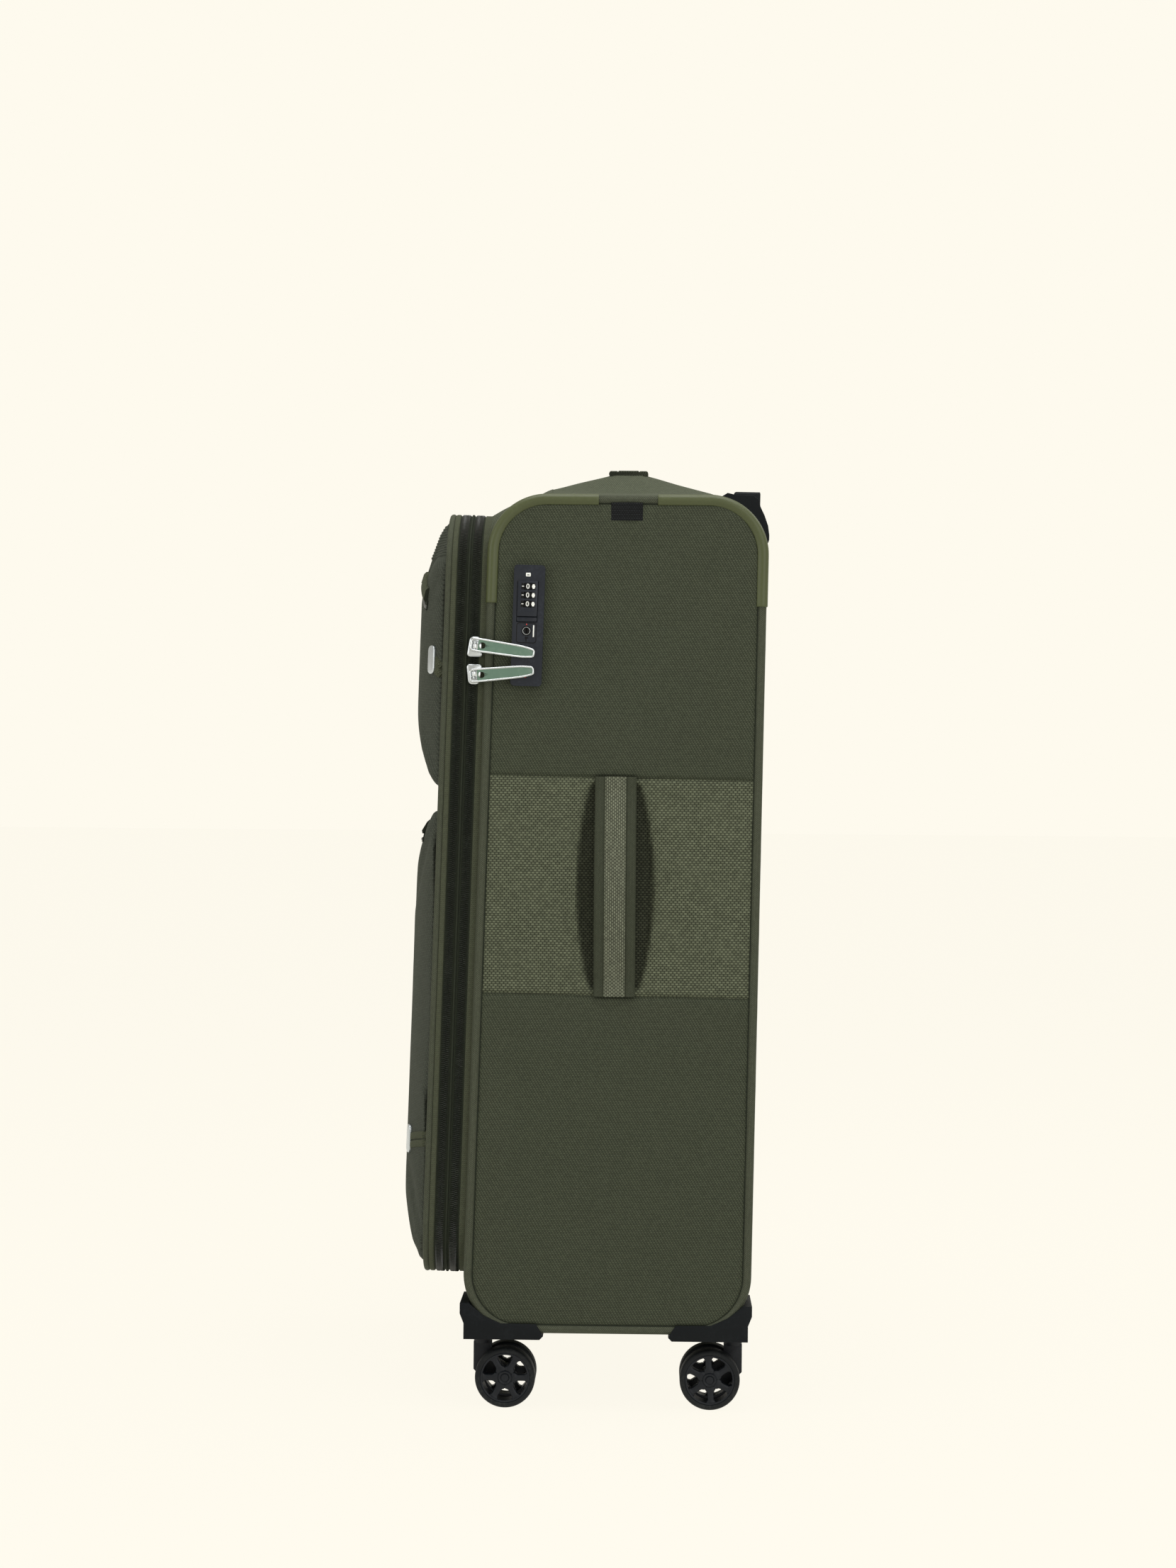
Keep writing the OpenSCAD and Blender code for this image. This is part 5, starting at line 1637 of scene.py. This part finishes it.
def makeWheel():
    # one wheel about the x axis, its outer face at +x: tyre, rim, six spokes with rounded openings, and a cap
    shape = wheelShape
    width, radius = shape["width"], shape["radius"]
    edge = 0.0030
    tyreProfile = []
    for i in range(7):
        angle = math.radians(90 * i / 6)
        tyreProfile.append((radius - edge + edge * math.sin(angle), width - edge + edge * math.cos(angle)))
    tyreProfile += [(r, width - x) for r, x in reversed(tyreProfile)]
    tyreProfile += [(radius - shape["tread"], 0.0004), (radius - shape["tread"], width - 0.0004)]
    tyre = turned("wheelTyre", tyreProfile, 96, (0.15, 0.03), 40)
    tyre.data.materials.append(finishes["treadRubber"])

    seat = radius - shape["tread"]
    rimProfile = [(seat + 0.0001, 0.0012), (seat + 0.0001, width - 0.0009), (seat - 0.0006, width - 0.0004),
                  (seat - 0.0018, width - 0.0006),
                  (shape["rimIn"] - 0.0012, width - 0.0030), (shape["rimIn"] - 0.0016, 0.0012)]
    rimRing = turned("wheelRim", rimProfile, 96, (0.13, 0.03), 35)

    section = [(-1, 0), (-1, 0.84), (-0.92, 0.95), (-0.78, 1), (0.78, 1), (0.92, 0.95), (1, 0.84), (1, 0)]
    spokeRows = len(section)

    def spokePlace(u, v):
        # a spoke that widens in curves to the hub and to the rim
        r = shape["bore"] + 0.001 + (shape["rimIn"] - shape["bore"] - 0.0014) * u
        nearHub, nearRim = max(r - 0.0078, 0) / 0.0015, max(shape["rimIn"] - 0.0016 - r, 0) / 0.0012
        half = shape["spokeHalf"] + 0.0017 * math.exp(-nearHub ** 2) + 0.0016 * math.exp(-nearRim ** 2)
        across, deep = section[int(round(v * spokeRows)) % spokeRows]
        return Vector((width - shape["spokeDrop"] - shape["spokeDepth"] * (1 - deep), half * across, r))

    spokes = []
    for k in range(6):
        spoke = shapedGrid("wheelSpoke", 26, spokeRows, spokePlace, (0.015, 0.01))
        capEnds(spoke)
        spoke.data.transform(Matrix.Rotation(math.radians(60 * k + 30), 4, "X"))
        spokes.append(spoke)
    disc = join("wheelSpokes", spokes)
    smooth(disc, 50)

    capProfile = [(shape["bore"], 0.0008), (shape["hub"] - 0.0005, 0.0008), (shape["hub"], 0.0014),
                  (shape["hub"], width - 0.0016), (shape["hub"] - 0.0004, width - 0.0007),
                  (shape["hub"] - 0.0013, width - 0.0001), (shape["hub"] - 0.0019, width - 0.0003),
                  (shape["hub"] - 0.0026, width - 0.0010), (shape["bore"], width - 0.0011)]
    cap = turned("wheelCap", capProfile, 48, (0.04, 0.03), 35)
    for piece in (rimRing, disc, cap):
        piece.data.materials.append(finishes["wheelShell"])
    return join("wheelMaster", [tyre, rimRing, disc, cap])


wheelMaster = makeWheel()

for cornerName in ("front_right", "front_left", "back_right", "back_left"):
    fork = refined("fork_" + cornerName, "castorFork" + cornerName.title().replace("_", ""), 0.0010, 3, 28)
    finish(fork, "castor_" + cornerName, finishes["wheelShell"], ["fork_" + cornerName])
    for place in ("outer", "inner"):
        node = "wheel_" + place + "_" + cornerName
        low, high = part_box(node)
        side = 1 if cornerName.endswith("right") else -1
        face = side if place == "outer" else -side
        centre = (low + high) / 2
        start = low.x if face > 0 else high.x
        turn = Matrix.Rotation(math.radians(0 if "front" in cornerName else 34), 4, "X")
        matrix = Matrix.Translation((start, centre.y, centre.z)) @ Matrix.Diagonal((face, 1, 1, 1)) @ turn
        wheel = copyPiece(wheelMaster, "wheel" + place.title() + cornerName.title().replace("_", ""), matrix)
        finish(wheel, node, None, [node])
bpy.data.objects.remove(wheelMaster)

print("stage: inside")

backLow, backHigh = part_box("back_lining")
liningShape = {"level": 0.0246, "thick": 0.0010, "sag": 0.0012}


def backPlace(u, v):
    low, high = backLow.z + 0.004, backHigh.z - 0.004
    z = low + (high - low) * ease(v, 0.1)
    x = (backHigh.x - 0.001) * (2 * ease(u, 0.1) - 1)
    push = 0.0004 * wobble(x * 24, z * 19) + liningShape["sag"] * math.sin(math.pi * u) * math.sin(math.pi * v)
    return inBack(x, push - liningShape["level"], z)


backCloth = shapedGrid("backLining", 90, 120, backPlace, (0.45, 0.67), (0, 0.3, 0.4), merge=False)
thicken(backCloth, liningShape["thick"], offset=0, angle=60)
finish(backCloth, "case", finishes["liningCloth"], ["back_lining"])

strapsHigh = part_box("packing_straps")[1]
beltShape = {"width": 0.038, "thick": 0.0012, "level": 0.0255, "buckleWide": 0.050, "buckleHigh": 0.038,
             "buckleDeep": 0.0052}
for index, share in enumerate((1 / 3, 2 / 3)):
    z = lowArc + share * (highArc - lowArc)

    def beltPlace(u, v, z=z):
        x = (strapsHigh.x - 0.001) * (2 * u - 1)
        lift = 0.0007 + 0.0006 * math.sin(math.pi * u) ** 2
        return inBack(x, -beltShape["level"] - lift, z + beltShape["width"] * (v - 0.5))

    belt = shapedGrid("packingStrap" + str(index), 80, 10, beltPlace, (0.43, 0.038), (0, 0.3, 0.4), merge=False)
    addModifier(belt, "SOLIDIFY", thickness=beltShape["thick"], offset=0)
    beveled(belt, 0.0002, 2, 60)
    finish(belt, "case", finishes["blackWebbing"], ["packing_straps"])
    buckle = block("packingBuckle" + str(index),
                   (beltShape["buckleWide"], beltShape["buckleDeep"], beltShape["buckleHigh"]))
    inEditMode(buckle, "EDGE", lambda e: abs(e.verts[0].co.y - e.verts[1].co.y) > 0.002,
               lambda: bpy.ops.mesh.bevel(offset=0.006, segments=5))
    inEditMode(buckle, "FACE", lambda f: f.normal.y < -0.9, lambda: bpy.ops.mesh.inset(thickness=0.004),
               lambda: bpy.ops.transform.translate(value=(0, 0.0010, 0)))
    beveled(buckle, 0.0005, 2)
    spot = inBack(0, -beltShape["level"] - 0.0036, z)
    buckle.data.transform(Matrix.Translation(spot) @ Matrix.Rotation(-leanB, 4, "X"))
    finish(buckle, "case", finishes["guardShell"], [])

print("stage: finishes on the carried-over pieces")

nodeFinishes = {
    "upper_pocket": "pocketTwill", "lower_pocket": "pocketTwill", "lid_panel": "pocketTwill",
    "lid_band": "rimTwill", "lid_piping": "pipingCloth", "lid_rim_band": "rimTwill",
    "expansion_gusset": "pocketTwill", "hinge_strip": "pocketTwill", "side_handle": "strapPlain",
    "top_handle": "strapPlain", "webbing_tab": "blackWebbing", "lock_housing": "lockShell",
    "lock_dial_upper": "dialShell", "lock_dial_middle": "dialShell", "lock_dial_lower": "dialShell",
    "lock_release": "lockShell", "lock_key_barrel": "satinMetal", "trolley_housing": "guardShell",
    "trolley_outer_tubes": "tubeMetal", "trolley_middle_tubes": "tubeMetal", "trolley_upper_tubes": "tubeMetal",
    "trolley_grip": "guardShell", "trolley_button": "guardShell", "corner_guards": "guardShell",
    "side_feet": "guardShell", "back_lining": "liningCloth", "packing_straps": "blackWebbing",
    "expander_slider": "satinMetal", "upper_pocket_slider": "satinMetal", "lower_pocket_slider": "satinMetal",
    "badge_plates": "badgeMetal", "main_slider_upper": "satinMetal", "main_slider_lower": "satinMetal",
    "main_puller_upper": "pullerGreen", "main_puller_lower": "pullerGreen",
}
for name, obj in nodes.items():
    finishName = nodeFinishes.get(name, "wheelShell" if name.startswith(("wheel", "fork")) else "sideTwill")
    obj.data.materials.clear()
    obj.data.materials.append(finishes[finishName])
    obj.data.update()

print("stage: floor, lights and camera")

stageLook = {"cream": (254, 250, 238), "glow": 0.966, "floorTint": 0.034, "floor": 60.0, "ambient": 0.62,
             "topLamp": (42, 2.2), "sideLamp": (30, 2.6), "backLamp": (12, 1.6),
             "frontLamp": (16, 1.6)}


def makeStage():
    floor = addPrimitive("grid", "floor", x_subdivisions=8, y_subdivisions=8, size=stageLook["floor"])
    material = bpy.data.materials.new("paleFloor")
    material.use_nodes = True
    shader = material.node_tree.nodes["Principled BSDF"]
    cream = asLinear(stageLook["cream"])
    shader.inputs["Base Color"].default_value = tuple(c * stageLook["floorTint"] for c in cream[:3]) + (1,)
    shader.inputs["Roughness"].default_value = 1
    shader.inputs["Specular IOR Level"].default_value = 0
    shader.inputs["Emission Color"].default_value = cream
    shader.inputs["Emission Strength"].default_value = stageLook["glow"]
    floor.data.materials.append(material)
    smooth(floor, 80)
    world = bpy.data.worlds.new("studio")
    scene.world = world
    world.use_nodes = True
    background = world.node_tree.nodes["Background"]
    background.inputs[0].default_value = cream
    seen = addNode(world.node_tree, "LightPath", []).outputs["Is Camera Ray"]
    world.node_tree.links.new(calc(world.node_tree, "MULTIPLY_ADD", seen, 1 - stageLook["ambient"],
                                   stageLook["ambient"]), background.inputs[1])


def addLamp(name, power, size, place, aim):
    lamp = bpy.data.lights.new(name, "AREA")
    lamp.energy, lamp.size, lamp.shape = power, size, "DISK"
    obj = bpy.data.objects.new(name, lamp)
    scene.collection.objects.link(obj)
    obj.location = place
    obj.rotation_euler = (Vector(aim) - Vector(place)).to_track_quat("-Z", "Y").to_euler()


makeStage()
addLamp("topLamp", *stageLook["topLamp"], (0.5, 0.15, 2.7), (0.05, 0, 0.5))
addLamp("sideLamp", *stageLook["sideLamp"], (2.8, 1.6, 1.3), (0.2, 0, 0.4))
addLamp("frontLamp", *stageLook["frontLamp"], (1.9, -2.4, 1.3), (0.2, 0, 0.4))
addLamp("backLamp", *stageLook["backLamp"], (-0.9, 2.0, 2.2), (0, 0.1, 0.5))

cameraSetting = {"place": (2.735, 0.0506, 0.5143), "turn": 91.136, "roll": 0.5, "lens": 70.15}
lens = bpy.data.cameras.new("camera")
lens.lens, lens.sensor_width, lens.clip_start, lens.clip_end = cameraSetting["lens"], 36, 0.05, 100
camera = bpy.data.objects.new("camera", lens)
scene.collection.objects.link(camera)
camera.matrix_world = (Matrix.Translation(cameraSetting["place"])
                       @ Matrix.Rotation(math.radians(cameraSetting["turn"]), 4, "Z")
                       @ Matrix.Rotation(math.radians(90), 4, "X")
                       @ Matrix.Rotation(math.radians(cameraSetting["roll"]), 4, "Z"))
scene.camera = camera
scene.view_settings.view_transform = "Standard"
